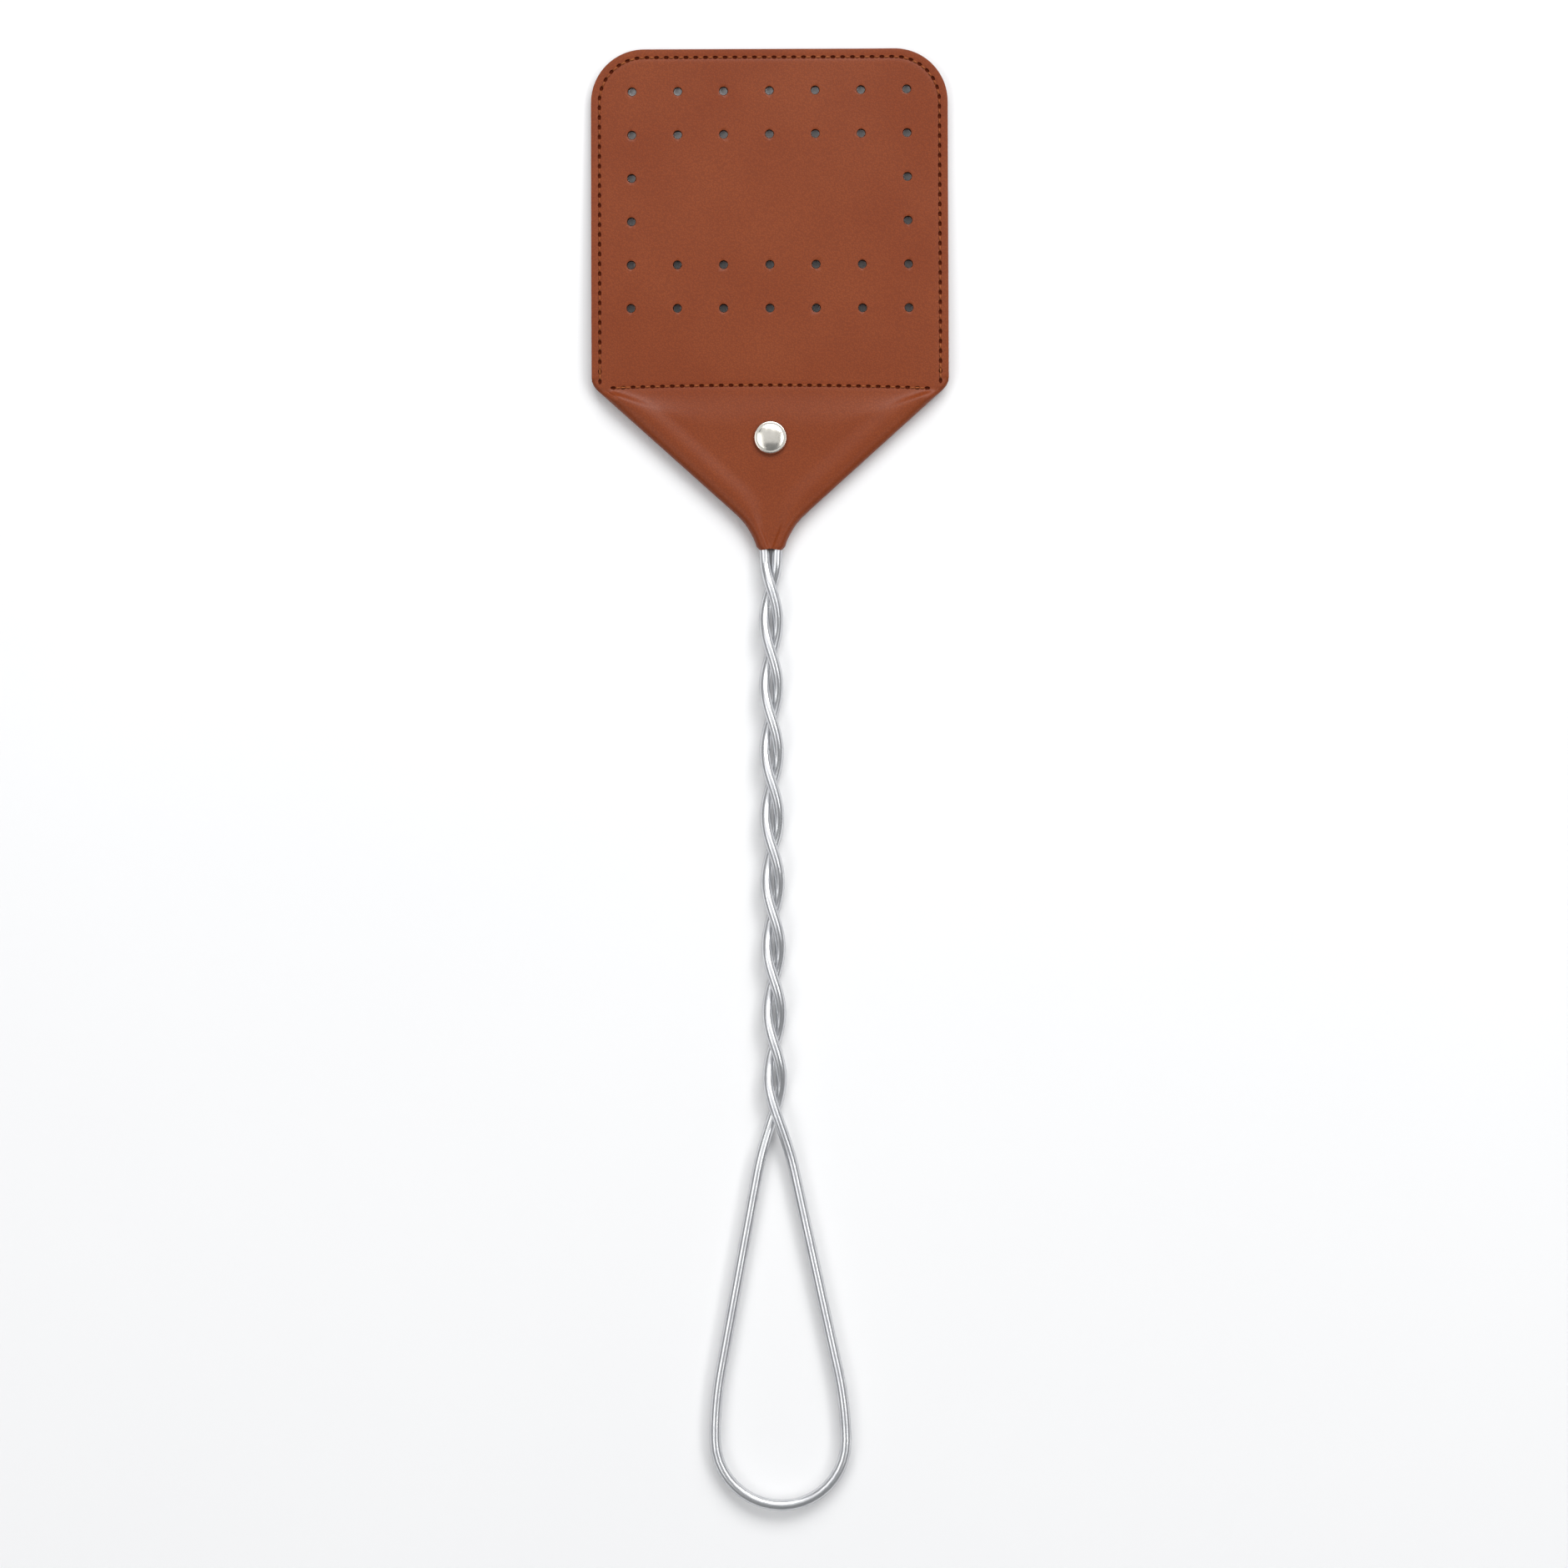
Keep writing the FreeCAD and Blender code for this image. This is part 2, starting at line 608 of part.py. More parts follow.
def domed_disc(name, diameter, dome_height, face, facing):
    """A disc with an upright rim and a dome, standing on a face that looks up (1) or down (-1)."""
    radius = formula(f"{diameter} / 2")
    rise = formula(f"({dome_height} - rivet_rim_height)")
    ball_radius = f"(({radius} ^ 2 + {rise} ^ 2) / (2 * {rise}))"
    ball = doc.addObject("Part::Sphere", f"{name}_ball")
    ball.setExpression("Radius", ball_radius)
    ball_height = f"{face} + {facing} * ({formula(dome_height)} - {ball_radius})"
    ball.setExpression("Placement.Base.z", f"{AXIS_HEIGHT} + {ball_height}")
    disc = doc.addObject("Part::Cylinder", f"{name}_disc")
    disc.setExpression("Radius", radius)
    disc.setExpression("Height", formula(dome_height))
    low = face if facing == 1 else f"{face} - {formula(dome_height)}"
    disc.setExpression("Placement.Base.z", f"{AXIS_HEIGHT} + {low}")
    for piece in (ball, disc):
        piece.setExpression("Placement.Base.y", RIVET_Y)
    return boolean("Part::Common", f"{name}_dome", disc, ball)


def rivet_cylinder(name, radius, low, high):
    """A cylinder on the rivet's axis between two heights."""
    cylinder = doc.addObject("Part::Cylinder", name)
    cylinder.setExpression("Radius", radius)
    cylinder.setExpression("Height", f"{high} - {low}")
    cylinder.setExpression("Placement.Base.y", RIVET_Y)
    cylinder.setExpression("Placement.Base.z", f"{AXIS_HEIGHT} + {low}")
    return cylinder


tube_end = f"(0 - {ROLL_INSIDE})"
tube_radius = formula("rivet_tube_diameter / 2")
bore_radius = formula("rivet_tube_diameter / 2 - rivet_tube_wall")
post_radius = formula("rivet_tube_diameter / 2 - rivet_tube_wall - rivet_clearance")
cap_dome = domed_disc("cap", "rivet_cap_diameter", "rivet_dome_height", ROLL_OUTSIDE, 1)
cap_tube = rivet_cylinder("cap_tube", tube_radius, tube_end, ROLL_OUTSIDE)
cap_bore = rivet_cylinder("cap_bore", bore_radius, tube_end, ROLL_OUTSIDE)
cap_body = join("cap_body", cap_dome, cap_tube)
rivet_cap = boolean("Part::Cut", "rivet_cap_cut", cap_body, cap_bore)
keep(rivet_cap, "rivet_cap")

foot_face = f"(0 - {ROLL_OUTSIDE})"
foot_dome = domed_disc("foot", "rivet_foot_diameter", "rivet_foot_height", foot_face, -1)
post_end = f"({ROLL_OUTSIDE} - {formula('rivet_clearance')})"
post = rivet_cylinder("post", post_radius, foot_face, post_end)
rivet_stud = join("rivet_stud_body", foot_dome, post)
keep(rivet_stud, "rivet_stud")
doc.recompute()

# ---------------------------------------------------------------- stitches

# A lockstitch is two threads: the needle thread shows in front, the bobbin thread behind. Both show as a
# row of short bars between the needle's holes, so a node is a group of bars. The thread is pulled tight,
# so each bar is pressed into the leather until it is flush with its face.
THREAD_RADIUS = value("Sizes.thread_diameter / 2")
STITCH = value("Sizes.stitch_length")


def edge_seam_path():
    """The edge seam: up the left side, round the top corners and down the right side."""
    inset = value("Sizes.seam_inset")
    half_width = value(HALF_WIDTH) - inset
    radius = value("Sizes.corner_radius") - inset
    centre_x = half_width - radius
    centre_drop = inset + radius
    end_drop = value("Sizes.shoulder_drop - Sizes.edge_seam_stop")
    diagonal = radius * math.sqrt(0.5)

    def corner(direction):
        points = [
            in_plan(direction * half_width, centre_drop),
            in_plan(direction * (centre_x + diagonal), centre_drop - diagonal),
            in_plan(direction * centre_x, inset),
        ]
        return Part.Arc(*points).toShape()

    left_side = Part.LineSegment(in_plan(-half_width, end_drop), in_plan(-half_width, centre_drop))
    top = Part.LineSegment(in_plan(-centre_x, inset), in_plan(centre_x, inset))
    right_side = Part.LineSegment(in_plan(half_width, centre_drop), in_plan(half_width, end_drop))
    edges = [left_side.toShape(), corner(-1), top.toShape(), corner(1), right_side.toShape()]
    return Part.Wire(Part.__sortEdges__(edges))


def cross_seam_path():
    """The straight seam across the shoulders."""
    half = value("Sizes.cross_seam_length / 2")
    drop = value("Sizes.cross_seam_drop")
    return Part.Wire([Part.LineSegment(in_plan(-half, drop), in_plan(half, drop)).toShape()])


def stitches(path, height, wanted):
    """Bars of thread along a path, at a height above the wire's axis, where a test passes."""
    count = round(path.Length / value("Sizes.stitch_pitch"))
    points = path.discretize(Number=2 * count + 1)
    bars = []
    for index in range(1, len(points), 2):
        along = (points[index + 1] - points[index - 1]).normalize()
        centre = points[index] + Vector(0, 0, height)
        if wanted(centre.y):
            bars.append(Part.makeCylinder(THREAD_RADIUS, STITCH, centre - along * (STITCH / 2), along))
    return Part.makeCompound(bars)


flex_y = value(TOP_Y) - value("Sizes.flex_drop")
keep_off = value("Sizes.flex_gap / 2") + STITCH / 2
FRONT_FACE = value(LEATHER) - THREAD_RADIUS
BACK_FACE = -FRONT_FACE
FLAP_FACE = -2 * value(LEATHER) + THREAD_RADIUS


def on_paddle(place):
    """Whether a stitch is above the line that the paddle bends about."""
    return place > flex_y + keep_off


def on_yoke(place):
    """Whether a stitch is below that line."""
    return place < flex_y - keep_off


edge_seam = edge_seam_path()
cross_seam = cross_seam_path()
SEAMS = [
    ("edge_seam_needle_thread", edge_seam, FRONT_FACE, on_paddle),
    ("edge_seam_bobbin_thread", edge_seam, BACK_FACE, on_paddle),
    ("edge_seam_end_needle_thread", edge_seam, FRONT_FACE, on_yoke),
    ("edge_seam_end_bobbin_thread", edge_seam, BACK_FACE, on_yoke),
    ("cross_seam_needle_thread", cross_seam, FRONT_FACE, on_yoke),
    ("cross_seam_bobbin_thread", cross_seam, FLAP_FACE, on_yoke),
]
for name, path, height, wanted in SEAMS:
    keep(add_shape(f"{name}_bars", stitches(path, height, wanted)), name)

# ---------------------------------------------------------------- checks and files

doc.recompute()
for item in doc.Objects:
    if "Invalid" in item.State or "Error" in item.State:
        raise RuntimeError(f"{item.Name} was not computed: {item.State}")
for sub_part in SUB_PARTS:
    if sub_part.Shape.isNull() or not sub_part.Shape.isValid():
        raise RuntimeError(f"{sub_part.Label} has no valid shape")

os.makedirs("parts", exist_ok=True)
for sub_part in SUB_PARTS:
    sub_part.Shape.exportStep(f"parts/{sub_part.Label}.step")
    count = len(sub_part.Shape.Solids)
    print(f"{sub_part.Label}: {count} solid(s), {sub_part.Shape.Volume:.1f} mm3")
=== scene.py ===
# %% [markdown]
# # A leather fly swatter
#
# This notebook dresses a finished CAD model of a fly swatter. The swatter is a paddle of two tan leathers
# sewn together, on a handle of one bent and twisted wire. The lower end of the front leather is rolled
# round the two arms of the wire like an envelope, and a rivet holds it.
#
# The CAD model is the frame of everything here: it is loaded first, it never moves, and every new piece
# takes its place and its size from it.

# %% Load the frame
import math

import bpy
from mathutils import Matrix, Vector


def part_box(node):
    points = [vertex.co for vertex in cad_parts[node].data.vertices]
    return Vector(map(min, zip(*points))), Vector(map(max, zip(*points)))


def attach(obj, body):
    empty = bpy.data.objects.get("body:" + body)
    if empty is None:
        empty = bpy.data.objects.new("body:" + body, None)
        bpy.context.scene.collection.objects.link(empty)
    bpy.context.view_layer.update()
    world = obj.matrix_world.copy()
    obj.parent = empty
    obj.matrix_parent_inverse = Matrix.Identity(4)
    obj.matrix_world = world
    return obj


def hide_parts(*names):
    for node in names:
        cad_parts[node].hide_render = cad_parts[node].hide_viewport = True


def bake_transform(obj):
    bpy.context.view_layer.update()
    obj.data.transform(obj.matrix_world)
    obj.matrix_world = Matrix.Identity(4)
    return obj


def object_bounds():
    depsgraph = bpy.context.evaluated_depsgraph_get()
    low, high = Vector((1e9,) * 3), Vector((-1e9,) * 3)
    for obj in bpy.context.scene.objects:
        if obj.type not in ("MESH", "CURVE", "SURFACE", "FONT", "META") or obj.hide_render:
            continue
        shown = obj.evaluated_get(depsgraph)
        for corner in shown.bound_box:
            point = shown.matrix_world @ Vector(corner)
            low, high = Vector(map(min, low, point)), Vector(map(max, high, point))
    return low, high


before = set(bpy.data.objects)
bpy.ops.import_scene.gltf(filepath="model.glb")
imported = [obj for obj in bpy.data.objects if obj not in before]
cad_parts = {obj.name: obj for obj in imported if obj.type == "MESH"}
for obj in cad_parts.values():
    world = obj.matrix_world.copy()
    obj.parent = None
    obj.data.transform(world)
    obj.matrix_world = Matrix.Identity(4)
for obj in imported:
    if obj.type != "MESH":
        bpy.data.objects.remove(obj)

cad_low, cad_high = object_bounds()
print("frame:", sorted(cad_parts))

# %% [markdown]
# ## Measures
#
# A leather worker measures from the edge of the work, so places here are two numbers in millimetres: how
# far across from the middle line, and the drop, which is how far down from the paddle's top edge. Heights
# count from the wire's axis. That is also the plane where the two leathers meet. One function turns such
# a place into Blender's metres, and the frame's own boxes give the numbers that it needs.

# %% Places and sizes read from the frame
MM = 0.001

paddle_low, paddle_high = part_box("front_leather")
yoke_low, yoke_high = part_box("yoke_leather")
cap_low, cap_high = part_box("rivet_cap")
foot_low, foot_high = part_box("rivet_stud")
wire_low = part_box("handle_wire")[0]
edge_seam_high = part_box("edge_seam_needle_thread")[1]
cross_seam_low, cross_seam_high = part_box("cross_seam_needle_thread")

TOP_Y = paddle_high.y
AXIS_Z = paddle_low.z
LEATHER = (paddle_high.z - paddle_low.z) / MM
HALF_WIDTH = paddle_high.x / MM


def at(across, drop, height=0.0):
    """A point in metres, from millimetres across, down from the top edge and above the wire's axis."""
    return Vector((across * MM, TOP_Y - drop * MM, AXIS_Z + height * MM))


def drop_of(y):
    """How far a place is below the paddle's top edge, in millimetres."""
    return (TOP_Y - y) / MM


def ease(share):
    """Turns 0..1 into a smooth step, flat at both ends."""
    share = min(max(share, 0.0), 1.0)
    return share * share * (3 - 2 * share)


def mix(first, second, share):
    """The number that lies a share of the way from the first to the second."""
    return first + (second - first) * share


CROSS_SEAM_DROP = drop_of((cross_seam_low.y + cross_seam_high.y) / 2)
MOUTH_DROP = drop_of(yoke_low.y)
RIVET_DROP = drop_of((cap_low.y + cap_high.y) / 2)
ROLL_OUTSIDE = (yoke_high.z - AXIS_Z) / MM
print(f"paddle {2 * HALF_WIDTH:.1f} mm wide, leather {LEATHER:.2f} mm, rivet {RIVET_DROP:.1f} mm down")

# %% [markdown]
# ## Outline of the leather
#
# Seen from the front, the leather is a rectangle with round top corners. At the shoulders it turns in
# along the wire's arms, and near the handle it curves into a short neck. Every stretch is a straight line
# or an arc, so the outline is a formula: one half width for each drop.

# %% Outline
ARM_ANGLE = math.radians(48)
CORNER_RADIUS = 16.0
SHOULDER_RADIUS = 5.0
SHOULDER_DROP = 101.0
NECK_SPACING = 3.5
NECK_RADIUS = 20.0

ARM_SLOPE = math.tan(ARM_ANGLE)
arm_start_x = HALF_WIDTH - ROLL_OUTSIDE / math.cos(ARM_ANGLE)
NECK_CORNER = SHOULDER_DROP + (arm_start_x - NECK_SPACING / 2) / ARM_SLOPE
NECK_END = NECK_CORNER + NECK_RADIUS * math.tan(ARM_ANGLE / 2)
SHOULDER_START = SHOULDER_DROP - SHOULDER_RADIUS * math.tan(ARM_ANGLE / 2)
SHOULDER_END = SHOULDER_START + SHOULDER_RADIUS * math.sin(ARM_ANGLE)
MOUTH_PINCH = 0.35
PINCH_LEAD = 6.0
PINCH_RUN = 5.0
MOUTH_ROUND = 1.2
NECK_LEAD = 12.0
NECK_RUN = 14.0


def neck_share(drop):
    """0 in the triangle, 1 in the neck."""
    return ease((drop - NECK_CORNER + NECK_LEAD) / NECK_RUN)


def arm_turn(drop):
    """How far the outline has turned from the handle's line at a drop, in radians."""
    if drop < SHOULDER_END:
        return ARM_ANGLE * ease((drop - SHOULDER_START) / (SHOULDER_END - SHOULDER_START))
    return min(ARM_ANGLE, math.asin(min(1.0, max(0.0, NECK_END - drop) / NECK_RADIUS)))


def outline(drop):
    """Half the width of the leather at a drop."""
    if drop < SHOULDER_START:
        return HALF_WIDTH
    if drop < SHOULDER_END:
        reach = math.sqrt(SHOULDER_RADIUS**2 - (drop - SHOULDER_START) ** 2)
        return HALF_WIDTH - SHOULDER_RADIUS + reach
    radius = NECK_RADIUS - ROLL_OUTSIDE
    if NECK_END - drop > radius * math.sin(ARM_ANGLE):
        return HALF_WIDTH - (drop - SHOULDER_DROP) * ARM_SLOPE
    reach = math.sqrt(radius**2 - (NECK_END - drop) ** 2)
    pinch = MOUTH_PINCH * ease((drop - MOUTH_DROP + PINCH_LEAD) / PINCH_RUN)
    round_off = 0.5 * max(0.0, drop - MOUTH_DROP + MOUTH_ROUND) ** 2
    return NECK_SPACING / 2 + NECK_RADIUS - reach - pinch - round_off


print(f"shoulders {SHOULDER_START:.1f} to {SHOULDER_END:.1f}, neck corner {NECK_CORNER:.1f} mm down")

# %% [markdown]
# ## How the paddle lies
#
# Leather never lies dead flat. The swatter rests on the twist of its handle, so the paddle sags from the
# stiff yoke until its top edge nearly touches the table, and it has a slow wave from the way it was sewn.
# One function gives this lift for every place. The leathers, the seams and the holes all use it, so they
# stay together.

# %% Lie of the paddle
SAG = 2.4
WAVE = 0.16
CORNER_LIFT = 0.75
YOKE_STIFF_DROP = 96.0


def lie(across, drop):
    """How far the leather lies above or below the flat CAD sheet, in millimetres."""
    free = max(0.0, 1 - drop / YOKE_STIFF_DROP)
    side = across / HALF_WIDTH
    wave = WAVE * math.sin(0.055 * across + 0.6) * math.sin(0.047 * drop + 0.4)
    corner = CORNER_LIFT * ease((side - 0.45) / 0.55) * ease((free - 0.55) / 0.45)
    return -SAG * free**1.3 + (wave + corner) * ease(free * 4)


# %% [markdown]
# ## Cutting a blank
#
# A sheet of leather starts as a flat blank. Here the blank is a grid whose rows and columns are close
# together where the leather bends or is sewn, and wide apart where it is plain. The grid is added with
# Blender's own grid primitive, and then each corner of the grid is laid where the real leather goes.


# %% Helpers for a blank
def stations(*spans):
    """Places along a line, from spans of (length, number of steps)."""
    places = [0.0]
    for length, steps in spans:
        start = places[-1]
        places += [start + length * step / steps for step in range(1, steps + 1)]
    return places


def deselect_all():
    """Leaves object mode with nothing selected, so that an operator acts only on what comes next."""
    if bpy.context.object and bpy.context.object.mode != "OBJECT":
        bpy.ops.object.mode_set(mode="OBJECT")
    bpy.ops.object.select_all(action="DESELECT")


def make_active(piece):
    """Selects one piece alone."""
    deselect_all()
    piece.select_set(True)
    bpy.context.view_layer.objects.active = piece


def add_grid(name, columns, rows):
    """A flat grid with columns x rows faces. Returns the piece and the (column, row) of each vertex."""
    deselect_all()
    bpy.ops.mesh.primitive_grid_add(x_subdivisions=columns, y_subdivisions=rows, size=2)
    piece = bpy.context.object
    piece.name = name
    spots = []
    for vertex in piece.data.vertices:
        column = round((vertex.co.x + 1) / 2 * columns)
        row = round((1 - vertex.co.y) / 2 * rows)
        spots.append((column, row))
    return piece, spots


def past_corner(across, drop):
    """How far a place is past the centre of the nearest top corner, sideways and upwards."""
    return abs(across) - (HALF_WIDTH - CORNER_RADIUS), CORNER_RADIUS - drop


def round_corner(across, drop):
    """Bends the square top corners of a grid into round ones, and leaves the rest as it is."""
    past_side, past_top = past_corner(across, drop)
    if past_side <= 0 or past_top <= 0:
        return across, drop
    reach = max(past_side, past_top) / math.hypot(past_side, past_top)
    side = math.copysign(1, across)
    return side * (HALF_WIDTH - CORNER_RADIUS + past_side * reach), CORNER_RADIUS - past_top * reach


def clean(piece, merge=0.0, outward=True):
    """Merges corners that are closer than some millimetres, and turns the faces outwards."""
    make_active(piece)
    bpy.ops.object.mode_set(mode="EDIT")
    bpy.ops.mesh.select_all(action="SELECT")
    if merge:
        bpy.ops.mesh.remove_doubles(threshold=merge * MM)
    if outward:
        bpy.ops.mesh.normals_make_consistent(inside=False)
    bpy.ops.object.mode_set(mode="OBJECT")


def apply_modifier(piece, modifier):
    """Applies a modifier to its piece."""
    make_active(piece)
    bpy.ops.object.modifier_apply(modifier=modifier.name)


# %% [markdown]
# ## The front leather
#
# One leather makes the whole front. Below the shoulders it runs over the two arms of the wire, rolls round
# them and comes back behind as two flaps, like the lower corners of an envelope. The roll is a quarter of
# an ellipse from the top of the arm to its outer side and another quarter down to the back. It starts
# tight at the shoulder, where only the other leather lies inside it, and opens to the size of the wire.
#
# The blank has columns for the panel, the two quarters of the roll and the flap, on both sides. Above the
# shoulders the leather has a cut edge, so there the columns past it are drawn in to it and merged.

# %% The front leather's section
SEAM_ARCH = 1.1
SEAM_TILT = 0.2


def cross_seam_drop(across):
    """The drop of the cross seam, which is arched a little and ends lower on the right."""
    share = across / HALF_WIDTH
    return CROSS_SEAM_DROP + SEAM_ARCH * (share**2 - 0.3) + SEAM_TILT * share


PANEL_STEPS = 41
ROLL_STEPS = 11
FLAP_STEPS = 24
EDGE_BAND = 4.4
FRONT_MID = LEATHER / 2
ROLL_MID = ROLL_OUTSIDE - LEATHER / 2
FLAP_DROP = CROSS_SEAM_DROP - 1.35
FLAP_MID = -1.5 * LEATHER
FOLD_RUN = 1.4
FOLD_START = FLAP_DROP - FOLD_RUN
SETTLE_RUN = 6.0
ROLL_OPEN = 3.9
ROLL_TIGHT = 1.2
ROLL_OPEN_RUN = 12.0
RISE_LAG = 0.3
MIDDLE_RISE_RUN = 13.0
SIDE_RISE_RUN = 3.0
PANEL_DIP = 0.6
DIP_WIDTH = 5.0
NECK_DIP_WIDTH = 1.3


def fold_share(drop):
    """0 where the side is a cut edge, 1 where it is folded round to the back."""
    return ease((drop - FOLD_START) / (FLAP_DROP - FOLD_START))


def panel_height(share, start, drop):
    """Height of the front panel, for a share of the way from the middle line to the start of the roll."""
    run = mix(MIDDLE_RISE_RUN, SIDE_RISE_RUN, share**4)
    risen = ease((drop - cross_seam_drop(share * start) - RISE_LAG) / run)
    inside = (1 - share) * abs(start) * math.cos(arm_turn(drop))
    dip = PANEL_DIP * ease(inside / mix(DIP_WIDTH, NECK_DIP_WIDTH, neck_share(drop)))
    return mix(FRONT_MID, ROLL_MID - dip, risen)


def flap_height(drop):
    """Height of the flaps away from the middle line."""
    return mix(FLAP_MID, -ROLL_MID, ease((drop - CROSS_SEAM_DROP) / SETTLE_RUN))


def roll_section(drop):
    """The roll at a drop: where it starts across, its half width, its upper and its lower height."""
    turn = arm_turn(drop)
    folded = fold_share(drop)
    side = outline(drop) - folded * LEATHER / 2 / math.cos(turn)
    opened = mix(ROLL_TIGHT, ROLL_OPEN, ease((drop - FLAP_DROP) / ROLL_OPEN_RUN))
    opened = mix(opened, ROLL_MID, neck_share(drop))
    width = mix(EDGE_BAND, opened / math.cos(turn), folded)
    upper = panel_height(1.0, side - width, drop)
    return side - width, width, upper, mix(upper, flap_height(drop), folded)


def front_point(step, drop, side):
    """A point of the front leather's middle surface, for a column counted out from the middle line."""
    start, width, upper, lower = roll_section(drop)
    if step <= PANEL_STEPS:
        share = step / PANEL_STEPS
        return side * start * share, panel_height(share, side * start, drop)
    if step <= PANEL_STEPS + 2 * ROLL_STEPS:
        share = (step - PANEL_STEPS) / ROLL_STEPS
        angle = share * math.pi / 2
        even = mix(share, math.sin(angle), fold_share(drop)) if share <= 1 else math.sin(angle)
        return side * (start + width * even), (upper + lower) / 2 + (upper - lower) / 2 * math.cos(angle)
    share = (step - PANEL_STEPS - 2 * ROLL_STEPS) / FLAP_STEPS
    return flap_point(start, share, drop, side)


# %% [markdown]
# Behind, the left flap lies over the right one. Where they overlap there are two layers, so the left flap
# steps out by one leather and the right one is pushed in between the arms. A gap as thin as paper stays
# between the two, because faces that touch exactly can't be cut cleanly. Towards the neck the overlap runs
# out and the flaps only meet. The rivet goes through both.

# %% The flaps
OVERLAP_TOP = 11.0
OVERLAP_END = 134.0
MEETING_GAP = 0.06
LAYER_GAP = 0.05
STEP_WIDTH = 3.0


def overlap(drop):
    """How far each flap reaches past the middle line. Below 0 they only meet."""
    return OVERLAP_TOP * (OVERLAP_END - drop) / (OVERLAP_END - FLAP_DROP)


def flap_point(start, share, drop, side):
    """A point of a flap's middle surface. Its share is 0 at the roll and 1 at its free edge."""
    reach = max(overlap(drop), -MEETING_GAP)
    across = mix(start, -reach, share)
    base = flap_height(drop)
    settle = ease((drop - CROSS_SEAM_DROP) / SETTLE_RUN)
    if side < 0:
        doubled = mix(FLAP_MID - LEATHER, -ROLL_MID, settle) - LAYER_GAP
        inside = ease((reach + STEP_WIDTH - across) / STEP_WIDTH) * ease(overlap(drop) + 1)
    else:
        doubled = mix(FLAP_MID, LEATHER - ROLL_MID, settle)
        inside = ease((reach + STEP_WIDTH - across) / STEP_WIDTH)
        inside *= 1 - ease((drop - OVERLAP_END) / SETTLE_RUN)
    return side * across, mix(base, doubled, inside)


# %% Cut, fold and place the front leather
front_rows = stations((4.4, 11), (92.6, 78), (4.5, 10), (8.5, 17), (MOUTH_DROP - 110, 36))
front_columns = 2 * (PANEL_STEPS + 2 * ROLL_STEPS + FLAP_STEPS)
FLAP_ROW = min(range(len(front_rows)), key=lambda row: abs(front_rows[row] - FLAP_DROP))
print("flap row at", front_rows[FLAP_ROW])


def lay_front_leather():
    """The front leather's middle surface, laid flat above the shoulders and folded below them."""
    piece, spots = add_grid("front_leather_sheet", front_columns, len(front_rows) - 1)
    middle = front_columns // 2
    for vertex, (column, row) in zip(piece.data.vertices, spots):
        drop = front_rows[row]
        side = 1 if column >= middle else -1
        step = abs(column - middle)
        if row < FLAP_ROW:
            step = min(step, PANEL_STEPS + ROLL_STEPS)
        across, height = front_point(step, drop, side)
        across, drop = round_corner(across, drop)
        vertex.co = at(across, drop, height + lie(across, drop))
    clean(piece, merge=0.01, outward=False)
    return piece


front_sheet = lay_front_leather()
print("front leather:", len(front_sheet.data.polygons), "faces")

# %% [markdown]
# ## The back leather
#
# The back leather is the same rectangle with round top corners, but it ends just below the cross seam,
# inside the fold of the front one. At the shoulders it is trimmed a little narrower, so that the front
# leather can fold round it.

# %% Cut and place the back leather
BACK_END = CROSS_SEAM_DROP + 0.5
TRIM = 1.3
TRIM_LEAD = 0.4
TRIM_RUN = 1.6
back_rows = stations((4.4, 11), (92.6, 78), (BACK_END - 97, 10))
BACK_COLUMNS = 2 * (PANEL_STEPS + ROLL_STEPS)


def back_half_width(drop):
    """Half the width of the back leather at a drop."""
    return outline(drop) - TRIM * ease((drop - FOLD_START + TRIM_LEAD) / TRIM_RUN)


def lay_back_leather():
    """The back leather's middle surface."""
    piece, spots = add_grid("back_leather_sheet", BACK_COLUMNS, len(back_rows) - 1)
    half_stations = stations((HALF_WIDTH - EDGE_BAND, PANEL_STEPS), (EDGE_BAND, ROLL_STEPS))
    for vertex, (column, row) in zip(piece.data.vertices, spots):
        drop = back_rows[row]
        offset = column - BACK_COLUMNS // 2
        across = math.copysign(half_stations[abs(offset)], offset)
        across *= back_half_width(drop) / HALF_WIDTH
        across, drop = round_corner(across, drop)
        vertex.co = at(across, drop, -LEATHER / 2 + lie(across, drop))
    return piece


back_sheet = lay_back_leather()
print("back leather:", len(back_sheet.data.polygons), "faces")

# %% [markdown]
# ## Where the seams run
#
# A sewing machine makes a hole every few millimetres and lays the thread from hole to hole. The edge seam
# starts at one shoulder, follows the edge round both top corners and ends at the other shoulder. The cross
# seam closes the pocket that holds the arms of the wire. Both are listed as holes: a place, and the
# direction of sewing. Stitches, holes and the dent that a tight thread makes all come from these lists.

# %% Holes of the two seams
STITCH_PITCH = 2.93
CAD_THREAD_RADIUS = 0.25
SEAM_INSET = HALF_WIDTH - edge_seam_high.x / MM + CAD_THREAD_RADIUS
EDGE_SEAM_STOP = SHOULDER_DROP - 1.1
CROSS_HALF = 47.0


def edge_seam_place(length):
    """The place and direction at a length along the edge seam, from the left shoulder."""
    half = HALF_WIDTH - SEAM_INSET
    radius = CORNER_RADIUS - SEAM_INSET
    side = EDGE_SEAM_STOP - CORNER_RADIUS
    corner = radius * math.pi / 2
    top = 2 * (half - radius)
    if length < side:
        return -half, EDGE_SEAM_STOP - length, 0.0, -1.0
    if length < side + corner:
        turn = (length - side) / radius
        across, drop = radius * (1 - math.cos(turn)), radius * math.sin(turn)
        return -half + across, CORNER_RADIUS - drop, math.sin(turn), -math.cos(turn)
    if length < side + corner + top / 2:
        return -half + radius + length - side - corner, SEAM_INSET, 1.0, 0.0
    across, drop, along, down = edge_seam_place(2 * (side + corner) + top - length)
    return -across, drop, along, -down


